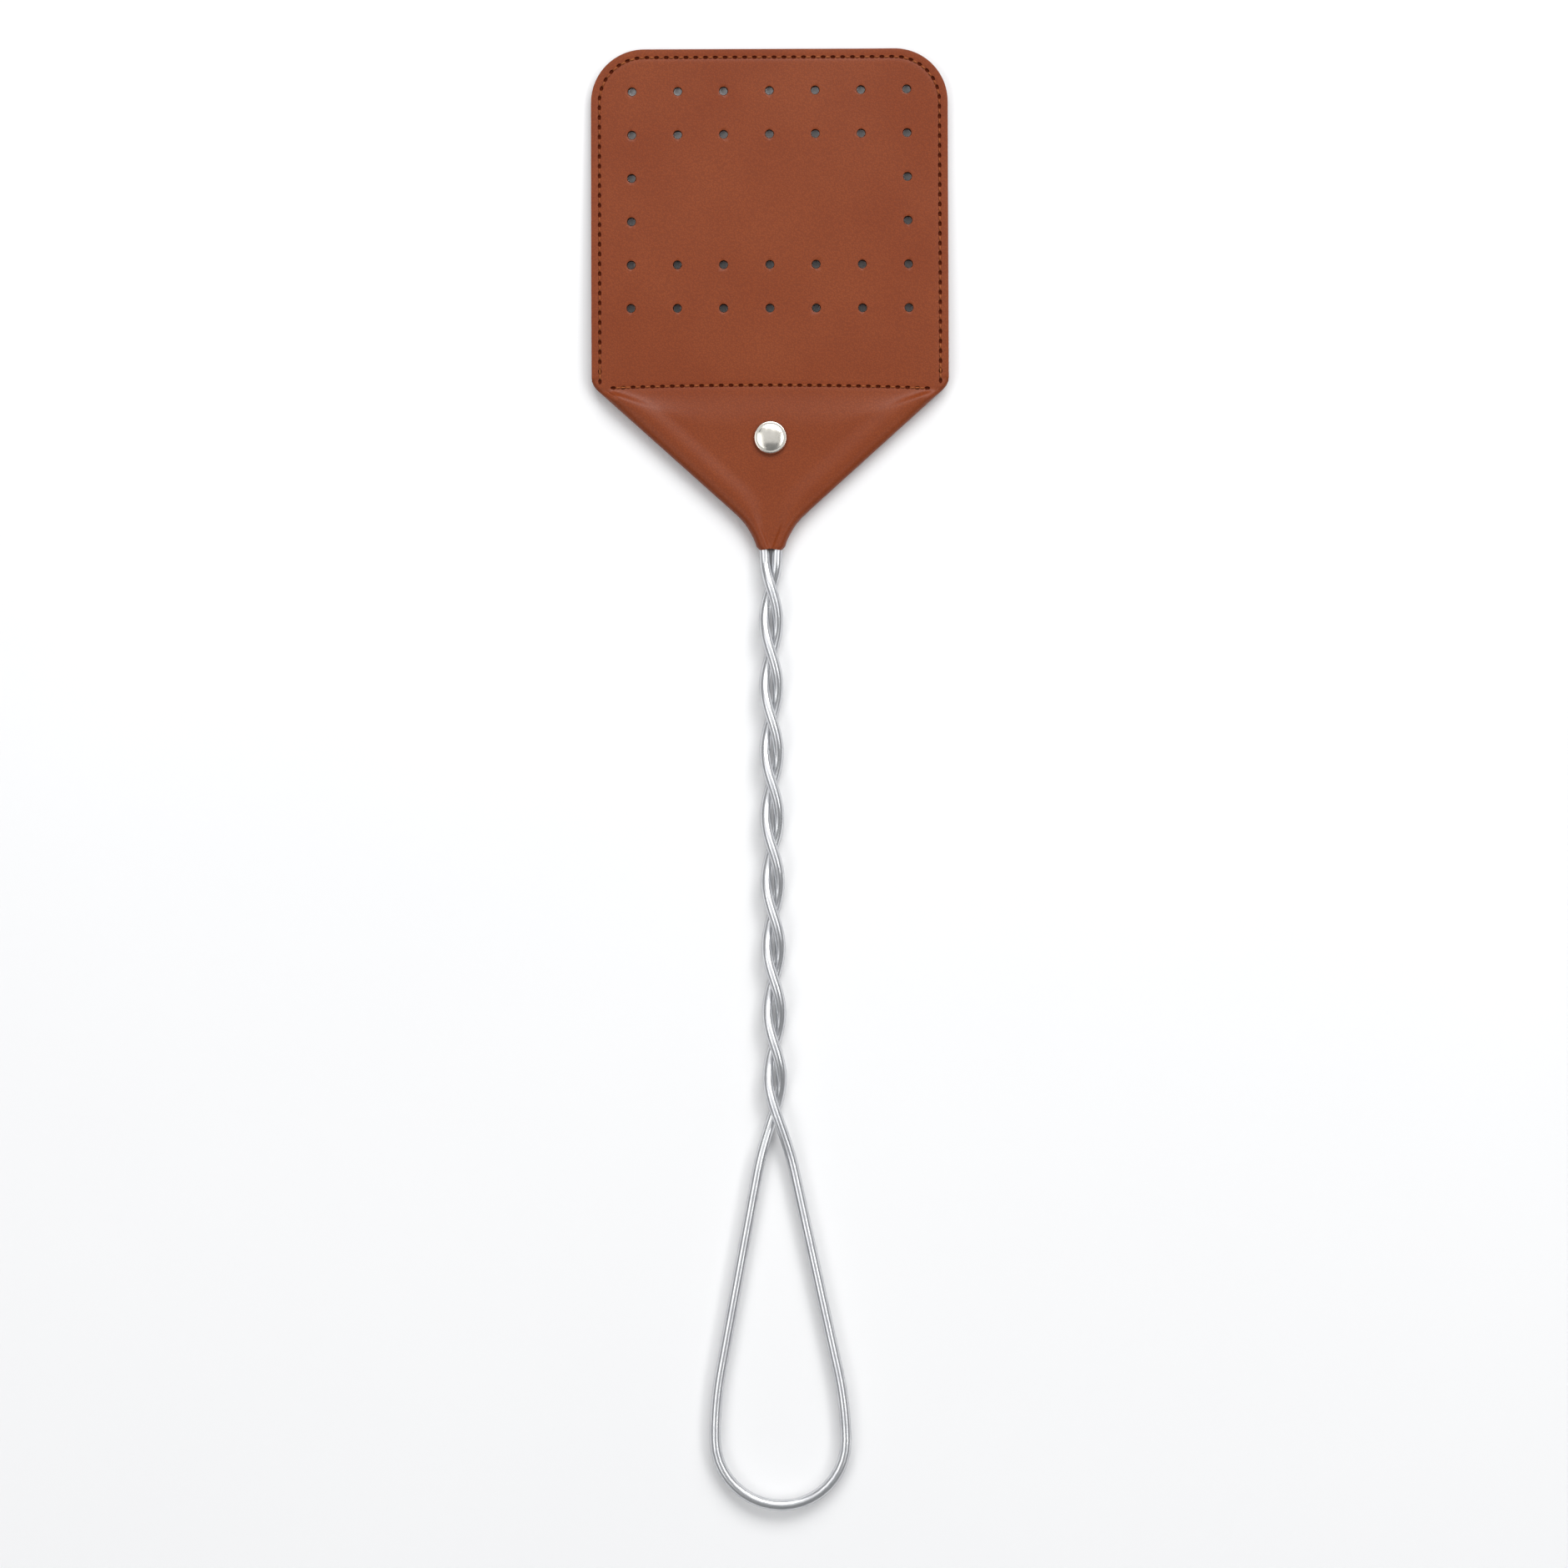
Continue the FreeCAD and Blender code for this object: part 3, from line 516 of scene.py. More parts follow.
EDGE_SEAM_LENGTH = 2 * (EDGE_SEAM_STOP - CORNER_RADIUS) + math.pi * (CORNER_RADIUS - SEAM_INSET)
EDGE_SEAM_LENGTH += 2 * (HALF_WIDTH - CORNER_RADIUS)
edge_count = round(EDGE_SEAM_LENGTH / STITCH_PITCH)
edge_holes = [edge_seam_place(EDGE_SEAM_LENGTH * index / edge_count) for index in range(edge_count + 1)]
cross_count = round(2 * CROSS_HALF / STITCH_PITCH)
cross_places = [mix(-CROSS_HALF, CROSS_HALF, index / cross_count) for index in range(cross_count + 1)]
cross_holes = [(across, cross_seam_drop(across), 1.0, 0.0) for across in cross_places]
print(f"edge seam {EDGE_SEAM_LENGTH:.0f} mm, {len(edge_holes)} holes; cross seam {len(cross_holes)} holes")


def seam_distance(across, drop):
    """How far a place is from the nearest seam."""
    inset = min(HALF_WIDTH - abs(across), drop)
    past_side, past_top = past_corner(across, drop)
    if past_side > 0 and past_top > 0:
        inset = CORNER_RADIUS - math.hypot(past_side, past_top)
    edge = math.hypot(inset - SEAM_INSET, max(0.0, drop - EDGE_SEAM_STOP))
    cross = math.hypot(drop - cross_seam_drop(across), max(0.0, abs(across) - CROSS_HALF))
    return min(edge, cross)


# %% [markdown]
# ## From a surface to leather
#
# Each sheet is still only a surface. Solidify gives it the thickness of the leather and puts its inner
# face and its cut edge in material slots of their own, because leather is rough inside and its edges are
# painted. A bevel takes the sharpness off the cut edges. Then the outer face is pressed down along the
# seams, where the thread is pulled tight, and a little round the rivet.

# %% Thickness, rounded edges and pressed seams
SEAM_DENT = 0.13
SEAM_DENT_WIDTH = 0.75
RIVET_DENT = 0.10
RIVET_DENT_WIDTH = 7.0
EDGE_ROUND = 0.2


def thicken(piece):
    """Gives a sheet its thickness, with slot 1 on its inner face and slot 2 on its cut edge."""
    solid = piece.modifiers.new("thickness", "SOLIDIFY")
    solid.thickness = LEATHER * MM
    solid.offset = 0
    solid.use_even_offset = False
    solid.material_offset = 1
    solid.material_offset_rim = 2
    apply_modifier(piece, solid)
    rounding = piece.modifiers.new("cut edges", "BEVEL")
    rounding.width = EDGE_ROUND * MM
    rounding.segments = 3
    rounding.limit_method = "ANGLE"
    rounding.angle_limit = math.radians(60)
    apply_modifier(piece, rounding)


def press_seams(piece, facing):
    """Presses the face that looks up (1) or down (-1) along the seams and round the rivet."""
    facings = [normal.vector.z * facing for normal in piece.data.vertex_normals]
    for vertex, outward in zip(piece.data.vertices, facings):
        if outward < 0.7:
            continue
        across, drop = vertex.co.x / MM, drop_of(vertex.co.y)
        inside = min(HALF_WIDTH - abs(across), drop)
        if inside < 2 * EDGE_ROUND:
            continue
        dent = SEAM_DENT * math.exp(-((seam_distance(across, drop) / SEAM_DENT_WIDTH) ** 2))
        rivet = math.hypot(across, drop - RIVET_DROP) / RIVET_DENT_WIDTH
        dent += RIVET_DENT * math.exp(-(rivet**4))
        vertex.co.z -= facing * dent * MM


def name_slots(piece, *finishes):
    """Gives a piece empty materials by name, one for each slot. They get their nodes further down."""
    for finish in finishes:
        material = bpy.data.materials.get(finish) or bpy.data.materials.new(finish)
        piece.data.materials.append(material)


name_slots(front_sheet, "tan_leather", "flesh_side", "edge_paint", "cut_hole_painted_shade", "needle_hole_painted_shade")
name_slots(back_sheet, "flesh_side", "tan_leather_back", "edge_paint", "cut_hole_painted_shade", "needle_hole_painted_shade")
for sheet in (front_sheet, back_sheet):
    thicken(sheet)
press_seams(front_sheet, 1)
press_seams(front_sheet, -1)
press_seams(back_sheet, -1)
print("thick leathers:", [len(sheet.data.polygons) for sheet in (front_sheet, back_sheet)], "faces")

# %% [markdown]
# ## Punched and pierced holes
#
# Thirty-two round holes let the air through the paddle, so that it doesn't blow the fly away. A punch cuts
# them through both leathers, and leaves their rims slightly rounded. The needle's holes are short slots
# along the seam. Both are cut with a Boolean: one cutter is modelled from a circle that is extruded ring
# by ring, copied to every place and joined, and the hole takes the cutter's material. That material is a
# near-black brown that paints the shade inside the hole.

# %% A tower of rings
def ring_tower(name, profile, sides, centre=(0, 0, 0), squeeze=1.0, turn=0.0):
    """A round solid up the Z axis. The profile is a list of (radius, height) in millimetres."""
    deselect_all()
    centre = Vector(centre)
    radius, height = profile[0]
    start = centre + Vector((0, 0, height * MM))
    bpy.ops.mesh.primitive_circle_add(
        vertices=sides, radius=radius * MM, location=start, rotation=(0, 0, turn), fill_type="NGON"
    )
    piece = bpy.context.object
    piece.name = name
    bpy.ops.object.transform_apply(location=True, rotation=True, scale=True)
    bpy.ops.object.mode_set(mode="EDIT")
    bpy.ops.mesh.select_all(action="SELECT")
    for (low_radius, low), (next_radius, high) in zip(profile, profile[1:]):
        move = {"value": (0, 0, (high - low) * MM)}
        bpy.ops.mesh.extrude_region_move(TRANSFORM_OT_translate=move)
        share = next_radius / low_radius
        bpy.ops.transform.resize(value=(share, share, 1), center_override=centre)
    bpy.ops.mesh.select_all(action="SELECT")
    bpy.ops.transform.resize(value=(1, squeeze, 1), center_override=centre)
    bpy.ops.mesh.normals_make_consistent(inside=False)
    bpy.ops.object.mode_set(mode="OBJECT")
    return piece


def copy_to(model, places, name):
    """Copies a model to each place, given as a matrix, and joins the copies into one piece."""
    copies = []
    for place in places:
        twin = model.copy()
        twin.data = model.data.copy()
        twin.data.transform(place)
        bpy.context.collection.objects.link(twin)
        copies.append(twin)
    bpy.data.objects.remove(model)
    make_active(copies[0])
    for twin in copies:
        twin.select_set(True)
    bpy.ops.object.join()
    copies[0].name = name
    return copies[0]


# %% Punch the perforations
HOLE_RADIUS = 1.23
CUTTER_TURN = math.radians(4.3)
HOLE_FLARE = 0.14
ROW_DROP = 12.5
PITCH_ACROSS = 13.73
PITCH_ALONG = 13.1
ROW_LEAN = 0.085
PITCH_GROWTH = 0.03
COLUMNS = 7
FULL_ROWS = (0, 1, 4, 5)
SIDE_ROWS = (2, 3)


def perforation(column, row):
    """The place of one hole. The upper rows lean up to the right a little, as if punched by hand."""
    steps = column - (COLUMNS - 1) / 2
    lean = ROW_LEAN * steps * (1 - row / FULL_ROWS[-1])
    return steps * (PITCH_ACROSS + PITCH_GROWTH * row), ROW_DROP + row * PITCH_ALONG - lean


def perforations():
    """Every hole: full rows at both ends, and only the outer columns between them."""
    spots = [(column, row) for row in FULL_ROWS for column in range(COLUMNS)]
    spots += [(column, row) for row in SIDE_ROWS for column in (0, COLUMNS - 1)]
    return [perforation(column, row) for column, row in spots]


def lifted(across, drop, height=0.0):
    """A place on the leather as it lies, as a matrix that moves a model there."""
    return Matrix.Translation(at(across, drop, height + lie(across, drop)))


def cut(piece, cutter):
    """Cuts a shape out of a piece."""
    difference = piece.modifiers.new("cut", "BOOLEAN")
    difference.object = cutter
    difference.operation = "DIFFERENCE"
    difference.solver = "EXACT"
    difference.material_mode = "TRANSFER"
    apply_modifier(piece, difference)
    bpy.data.objects.remove(cutter)


upper_half = [
    (HOLE_RADIUS, LEATHER - 0.2),
    (HOLE_RADIUS + HOLE_FLARE * 0.3, LEATHER - 0.07),
    (HOLE_RADIUS + HOLE_FLARE * 1.5, LEATHER + 0.05),
    (HOLE_RADIUS + HOLE_FLARE * 1.5, LEATHER + 0.4),
]
punch_profile = [(radius, -height) for radius, height in reversed(upper_half)] + upper_half
for sheet in (front_sheet, back_sheet):
    punch = ring_tower("punch", punch_profile, 28, turn=CUTTER_TURN)
    name_slots(punch, "cut_hole_painted_shade")
    cut(sheet, copy_to(punch, [lifted(*place) for place in perforations()], "punches"))
print(len(perforations()), "holes punched")

# %% Pierce the needle's holes
NEEDLE_LENGTH = 1.7
NEEDLE_WIDTH = 1.02
NEEDLE_DEPTH = 0.5


def back_face(across, drop):
    """Height of the face that is outermost behind."""
    if drop < FLAP_DROP:
        return -LEATHER
    reach = overlap(drop)
    doubled = ease((reach + STEP_WIDTH + across) / STEP_WIDTH) if across < reach else 0.0
    return mix(flap_height(drop), FLAP_MID - LEATHER - LAYER_GAP, doubled) - LEATHER / 2


def along_seam(hole, facing, height):
    """Turns a model that stands on Z, with X along it, to a hole's direction of sewing on one face."""
    across, drop, along, down = hole
    direction = Vector((along, -down, 0))
    up = Vector((0, 0, facing))
    turn = Matrix((direction, up.cross(direction), up)).transposed().to_4x4()
    return lifted(across, drop, height) @ turn


def seam_places(spots, facing, height_of):
    """One matrix for each spot of a seam, on the face whose height is given by a function."""
    return [along_seam(spot, facing, height_of(spot[0], spot[1])) for spot in spots]


def needle_cutters(holes, facing, height_of):
    """Cutters for the holes of a seam on one face."""
    half = NEEDLE_LENGTH / 2
    profile = [(half * 0.6, -NEEDLE_DEPTH), (half * 0.88, -NEEDLE_DEPTH * 0.6)]
    profile += [(half, -0.12), (half * 1.12, 0.4)]
    needle = ring_tower("needle", profile, 12, squeeze=NEEDLE_WIDTH / NEEDLE_LENGTH, turn=CUTTER_TURN)
    name_slots(needle, "needle_hole_painted_shade")
    return copy_to(needle, seam_places(holes, facing, height_of), "needles")


def front_face(across, drop):
    """Height of the front face along the seams, pressed in by the thread."""
    start = roll_section(drop)[0]
    share = min(1.0, abs(across) / start)
    return panel_height(share, math.copysign(start, across), drop) + LEATHER / 2 - SEAM_DENT


def pressed_back_face(across, drop):
    """Height of the outermost face behind, pressed in by the thread."""
    return back_face(across, drop) + SEAM_DENT


cut(front_sheet, needle_cutters(edge_holes + cross_holes, 1, front_face))
cut(back_sheet, needle_cutters(edge_holes, -1, pressed_back_face))
cut(front_sheet, needle_cutters(cross_holes, -1, pressed_back_face))
print("needle holes:", 2 * (len(edge_holes) + len(cross_holes)))

# %% [markdown]
# ## Stitches
#
# Between two holes the thread shows as a short bar, a little bowed, that dives into both holes. Sewing
# thread is three strands twisted together, so the bar's section has flats that turn along it. It is
# modelled once, as a tower of rings that is twisted and bowed, and copied to the middle of every stitch.
# At the ends of a seam the machine sews back over its last stitches to lock them, so there a second bar
# covers a hole.

# %% One stitch, and a seam of them
THREAD_RADIUS = 0.3
STITCH_RINGS = [(-1.0, -0.62), (-0.8, -0.34), (-0.58, 0.02), (-0.3, 0.13), (0.0, 0.15)]
STITCH_RINGS += [(-share, rise) for share, rise in reversed(STITCH_RINGS[:-1])]
STITCH_REACH = 0.9
STITCH_TURN = math.radians(34)
STITCH_SIDES = 6
STITCH_SQUEEZE = 0.86
LOCK_RISE = 0.12


def stitch_bar():
    """One bar of thread along X, bowed up, with its ends dived below the leather's face."""
    profile = [(THREAD_RADIUS, share * STITCH_REACH) for share, rise in STITCH_RINGS]
    bar = ring_tower("stitch", profile, STITCH_SIDES, squeeze=STITCH_SQUEEZE)
    for vertex in bar.data.vertices:
        share = vertex.co.z / MM / STITCH_REACH
        ring = min(range(len(STITCH_RINGS)), key=lambda index: abs(STITCH_RINGS[index][0] - share))
        turn = Matrix.Rotation(STITCH_TURN * ring, 3, "Z")
        spot = turn @ Vector((vertex.co.x, vertex.co.y, 0))
        vertex.co = Vector((share * STITCH_REACH * MM, spot.y, spot.x + STITCH_RINGS[ring][1] * MM))
    clean(bar)
    return bar


def between(first, second):
    """The place and the direction half way between two holes."""
    across, drop = (first[0] + second[0]) / 2, (first[1] + second[1]) / 2
    reach = math.hypot(second[0] - first[0], second[1] - first[1])
    return across, drop, (second[0] - first[0]) / reach, (second[1] - first[1]) / reach


def sew(name, holes, facing, height_of):
    """All the stitches of a seam on one face, with its ends locked."""
    middles = [between(first, second) for first, second in zip(holes, holes[1:])]
    places = seam_places(middles, facing, height_of)
    for lock in (holes[1], holes[-2]):
        height = height_of(lock[0], lock[1]) + facing * LOCK_RISE
        places.append(along_seam(lock, facing, height))
    seam = copy_to(stitch_bar(), places, name)
    name_slots(seam, "waxed_thread")
    return seam


edge_stitches_front = sew("edge_stitches_front", edge_holes, 1, front_face)
edge_stitches_back = sew("edge_stitches_back", edge_holes, -1, pressed_back_face)
cross_stitches_front = sew("cross_stitches_front", cross_holes, 1, front_face)
cross_stitches_back = sew("cross_stitches_back", cross_holes, -1, pressed_back_face)
print("stitches on one side:", edge_count + cross_count)

# %% [markdown]
# ## The wire
#
# The whole handle is one piece of galvanised wire. Its two ends are the arms inside the leather. They bend
# into the neck, twist round each other eight times half round, and part into the hanging loop. A Bezier
# curve suits it: a straight run or an arc needs only a point at each end, with handles along the wire.
# A quarter turn of the twist is one such arc that moves on along the handle. Half of the wire is worked
# out, and the other half is the same half turned round the handle's line. Wire that is twisted by hand is
# never dead straight, so the handle leans aside by a few millimetres towards its loop.

# %% Points of half the wire
WIRE_RADIUS = 1.6
TWIST_RADIUS = 2.0
HALF_TURN = 19.55
HALF_TURNS = 8
LEAD_IN = 8.8
LEAD_OUT = 18.5
LOOP_HALF_ANGLE = math.radians(11.4)
FLARE_RADIUS = 106.0
END_RADIUS = 19.6
ARM_TIP_DROP = 105.0
CIRCLE_PULL = 0.5523
LEAD_PULL = 0.36

LOOP_END = drop_of(wire_low.y)
first_crossing = NECK_END + LEAD_IN
last_crossing = first_crossing + HALF_TURN * HALF_TURNS
loop_centre = LOOP_END - END_RADIUS - WIRE_RADIUS


def arc_pull(radius, angle):
    """Length of the handles that bend a Bezier span into an arc."""
    return radius * 4 / 3 * math.tan(angle / 4)


def wire_knots():
    """Half the wire as (point, direction, handle before, handle after), all in millimetres."""
    sine, cosine = math.sin(ARM_ANGLE), math.cos(ARM_ANGLE)
    bend = NECK_RADIUS * math.tan(ARM_ANGLE / 2)
    arm = Vector((-sine, cosine, 0))
    down = Vector((0, 1, 0))
    bend_start = Vector((NECK_SPACING / 2, NECK_CORNER, 0)) - arm * bend
    tip = bend_start - arm * (bend_start.y - ARM_TIP_DROP) / cosine
    straight = (bend_start - tip).length / 3
    bend_pull = arc_pull(NECK_RADIUS, ARM_ANGLE)
    knots = [(tip, arm, straight, straight), (bend_start, arm, straight, bend_pull)]
    knots.append((Vector((NECK_SPACING / 2, NECK_END, 0)), down, bend_pull, LEAD_PULL * LEAD_IN))
    quarter = HALF_TURN / 2
    for step in range(2 * HALF_TURNS + 1):
        turn = math.pi / 2 * step
        spot = Vector((-math.sin(turn), 0, -math.cos(turn))) * TWIST_RADIUS
        spot.y = first_crossing + quarter * step
        way = Vector((-math.cos(turn), 0, math.sin(turn))) * CIRCLE_PULL * TWIST_RADIUS
        way.y = quarter / 3
        pull = way.length
        before = LEAD_PULL * LEAD_IN if step == 0 else pull
        after = LEAD_PULL * LEAD_OUT if step == 2 * HALF_TURNS else pull
        knots.append((spot, way.normalized(), before, after))
    sine, cosine = math.sin(LOOP_HALF_ANGLE), math.cos(LOOP_HALF_ANGLE)
    side = Vector((-sine, cosine, 0))
    flare_x = END_RADIUS - FLARE_RADIUS * (1 - cosine)
    flare_start = Vector((-flare_x, loop_centre - FLARE_RADIUS * sine, 0))
    run = (flare_start.y - last_crossing - LEAD_OUT) / cosine
    flare_pull = arc_pull(FLARE_RADIUS, LOOP_HALF_ANGLE)
    end_pull = arc_pull(END_RADIUS, math.pi / 2)
    knots.append((flare_start - side * run, side, LEAD_PULL * LEAD_OUT, run / 3))
    knots.append((flare_start, side, run / 3, flare_pull))
    knots.append((Vector((-END_RADIUS, loop_centre, 0)), down, flare_pull, end_pull))
    knots.append((Vector((0, loop_centre + END_RADIUS, 0)), Vector((1, 0, 0)), end_pull, end_pull))
    return knots


def turned(knot):
    """The same knot on the other half: turned half round the handle's line, and followed backwards."""
    point, way, before, after = knot
    return Vector((-point.x, point.y, -point.z)), Vector((way.x, -way.y, way.z)), after, before


half_wire = wire_knots()
whole_wire = half_wire + [turned(knot) for knot in reversed(half_wire[:-1])]
print(len(whole_wire), "points on the wire")

# %% Draw the wire and make it solid
BEND_STEPS = 10
TWIST_SWAY, TWIST_SWAY_DROP, TWIST_SWAY_RUN = 0.6, 190.0, 130.0
LOOP_SWAY, LOOP_SWAY_DROP, LOOP_SWAY_RUN = 1.9, 290.0, 190.0


def sway(drop):
    """How far the wire stands aside from a straight line, as a handle that was twisted by hand does."""
    twist = TWIST_SWAY * ease((drop - TWIST_SWAY_DROP) / TWIST_SWAY_RUN)
    return twist + LOOP_SWAY * ease((drop - LOOP_SWAY_DROP) / LOOP_SWAY_RUN)


def wire_place(vector):
    """A point of the wire in metres."""
    return at(vector.x + sway(vector.y), vector.y, vector.z)


deselect_all()
bpy.ops.curve.primitive_bezier_curve_add()
wire = bpy.context.object
wire.name = "galvanised_wire_handle"
wire.data.dimensions = "3D"
spline = wire.data.splines[0]
spline.bezier_points.add(len(whole_wire) - len(spline.bezier_points))
for bezier_point, (point, way, before, after) in zip(spline.bezier_points, whole_wire):
    bezier_point.handle_left_type = bezier_point.handle_right_type = "FREE"
    bezier_point.co = wire_place(point)
    bezier_point.handle_left = wire_place(point - way * before)
    bezier_point.handle_right = wire_place(point + way * after)
wire.data.resolution_u = BEND_STEPS
wire.data.bevel_depth = WIRE_RADIUS * MM
wire.data.bevel_resolution = 6
wire.data.use_fill_caps = True
wire_length = spline.calc_length()
make_active(wire)
bpy.ops.object.convert(target="MESH")
wire = bpy.context.object
clean(wire, merge=0.001)
wire.data.materials.clear()
name_slots(wire, "galvanised_steel")
print(f"wire {wire_length:.3f} m long, {len(wire.data.polygons)} faces")

# %% [markdown]
# ## The rivet
#
# A double-cap rivet has two halves. The cap has a low dome with a rolled rim and a tube under it. The foot
# has a flatter dome and a post, which is pressed into the tube until the leathers are clamped. Both are
# turned shapes, so each is one tower of rings: out along the underside, round the rim and in over the dome
# along a circle.

# %% Cap and foot
CAP_RADIUS = (cap_high.x - cap_low.x) / 2 / MM
FOOT_RADIUS = (foot_high.x - foot_low.x) / 2 / MM
CAP_TOP = (cap_high.z - AXIS_Z) / MM
FOOT_BOTTOM = (foot_low.z - AXIS_Z) / MM
TUBE_RADIUS = 1.7
BORE_RADIUS = 1.2
SEAT = ROLL_OUTSIDE - PANEL_DIP - RIVET_DENT + 0.01
RIM_STEPS = 5
RIM_STEP_IN = 0.08
RIM_STEP_DOWN = 0.02
RIVET_SIDES = 64


def dome(radius, rim, top, steps):
    """Rings from a rim at a radius in to the middle, along a circle through the top."""
    rise = top - rim
    ball = (radius**2 + rise**2) / (2 * rise)
    widest = math.asin(radius / ball)
    rings = []
    for step in range(steps + 1):
        angle = widest * (1 - step / steps)
        rings.append((max(ball * math.sin(angle), 0.02), top - ball * (1 - math.cos(angle))))
    return rings


def rim_roll(radius, low, high):
    """Rings round the outside of a rolled rim, from its underside up to its top."""
    half = (high - low) / 2
    rings = []
    for step in range(RIM_STEPS + 1):
        angle = math.pi * (step / RIM_STEPS - 0.5)
        rings.append((radius - half + half * math.cos(angle), low + half + half * math.sin(angle)))
    return rings


DOME_RISE = 0.72
RIM_HEIGHT = CAP_TOP - SEAT - DOME_RISE
cap_rim = rim_roll(CAP_RADIUS, SEAT, SEAT + RIM_HEIGHT)
cap_dome = dome(cap_rim[-1][0] - RIM_STEP_IN, SEAT + RIM_HEIGHT - RIM_STEP_DOWN, CAP_TOP, 12)
cap_profile = [(TUBE_RADIUS, -ROLL_MID + 0.5), (TUBE_RADIUS, SEAT)] + cap_rim + cap_dome
cap = ring_tower("rivet_cap_nickel", cap_profile, RIVET_SIDES, at(0, RIVET_DROP))

FOOT_SEAT = ROLL_OUTSIDE - 0.12
FOOT_RIM_TOP = FOOT_SEAT + 0.4
foot_rim = rim_roll(FOOT_RADIUS, FOOT_SEAT, FOOT_RIM_TOP)
foot_dome = dome(foot_rim[-1][0] - RIM_STEP_IN, FOOT_RIM_TOP - RIM_STEP_DOWN, -FOOT_BOTTOM, 8)
foot_profile = [(BORE_RADIUS, 0.5), (BORE_RADIUS, FOOT_SEAT)] + foot_rim + foot_dome
foot_profile = [(radius, -height) for radius, height in foot_profile]
foot = ring_tower("rivet_foot_nickel", foot_profile, RIVET_SIDES, at(0, RIVET_DROP))
for piece in (cap, foot):
    name_slots(piece, "nickel_plate")
print(f"rivet cap {2 * CAP_RADIUS:.1f} mm, foot {2 * FOOT_RADIUS:.1f} mm")

# %% Smooth shading
seams = (edge_stitches_front, edge_stitches_back, cross_stitches_front, cross_stitches_back)
for pieces, limit in (((front_sheet, back_sheet), 40), (seams, 70), ((wire,), 50), ((cap, foot), 35)):
    for piece in pieces:
        make_active(piece)
        bpy.ops.object.shade_smooth_by_angle(angle=math.radians(limit))

# %% [markdown]
# ## Materials
#
# A finish is built from three things: a colour that varies a little, a roughness that varies with it, and
# a bump that catches the light. All of them read the place in the object, in metres, so a pattern's scale
# is how many times it repeats in a metre. Small helpers make the nodes, and each finish is a short
# function.


# %% Node helpers
class Finish:
    """A material with its shader, and short ways to add nodes to it."""

    def __init__(self, name):
        self.material = bpy.data.materials.get(name) or bpy.data.materials.new(name)
        self.material.use_nodes = True
        self.nodes = self.material.node_tree.nodes
        self.links = self.material.node_tree.links
        self.shader = next(node for node in self.nodes if node.type == "BSDF_PRINCIPLED")
        self.place = self.add("ShaderNodeTexCoord").outputs["Object"]

    def add(self, kind, **values):
        """A node, with its sockets set or linked by name."""
        node = self.nodes.new(kind)
        for name, value in values.items():
            self.put(node.inputs[name.replace("_", " ")], value)
        return node

    def put(self, socket, value):
        """Sets a socket, or links another node's socket to it."""
        if isinstance(value, bpy.types.NodeSocket):
            self.links.new(value, socket)
        else:
            socket.default_value = value

    def set(self, **values):
        """Sets or links the shader's sockets."""
        for name, value in values.items():
            self.put(self.shader.inputs[name.replace("_", " ")], value)

    def stretched(self, source, scale):
        """A place scaled by three numbers, so that a pattern is drawn out."""
        return self.add("ShaderNodeMapping", Vector=source, Scale=scale).outputs["Vector"]

    def noise(self, scale, detail=3.0, roughness=0.55, source=None):
        """Soft noise from 0 to 1."""
        values = {"Scale": scale, "Detail": detail, "Roughness": roughness}
        return self.add("ShaderNodeTexNoise", Vector=source or self.place, **values).outputs["Fac"]

    def cells(self, scale):
        """Distance to the nearest of many scattered points: the pebbles of a grain."""
        return self.add("ShaderNodeTexVoronoi", Vector=self.place, Scale=scale).outputs["Distance"]

    def spread(self, value, low, high, to_low=0.0, to_high=1.0):
        """Maps a range of numbers to another."""
        ends = {"From_Min": low, "From_Max": high, "To_Min": to_low, "To_Max": to_high}
        return self.add("ShaderNodeMapRange", Value=value, **ends).outputs["Result"]

    def math(self, operation, first, second):
        """One sum on two numbers."""
        node = self.nodes.new("ShaderNodeMath")
        node.operation = operation
        self.put(node.inputs[0], first)
        self.put(node.inputs[1], second)
        return node.outputs["Value"]

    def blend(self, share, first, second):
        """A colour between two colours."""
        node = self.nodes.new("ShaderNodeMix")
        node.data_type = "RGBA"
        self.put(node.inputs["Factor"], share)
        self.put(node.inputs["A"], first)
        self.put(node.inputs["B"], second)
        return node.outputs["Result"]

    def bump(self, height, distance, strength=1.0):
        """Relief from a height, where a height of 1 stands up by the distance in metres."""
        node = self.add("ShaderNodeBump", Height=height, Distance=distance, Strength=strength)
        self.set(Normal=node.outputs["Normal"])


def colour(red, green, blue):
    """A colour for a socket."""
    return (red, green, blue, 1.0)
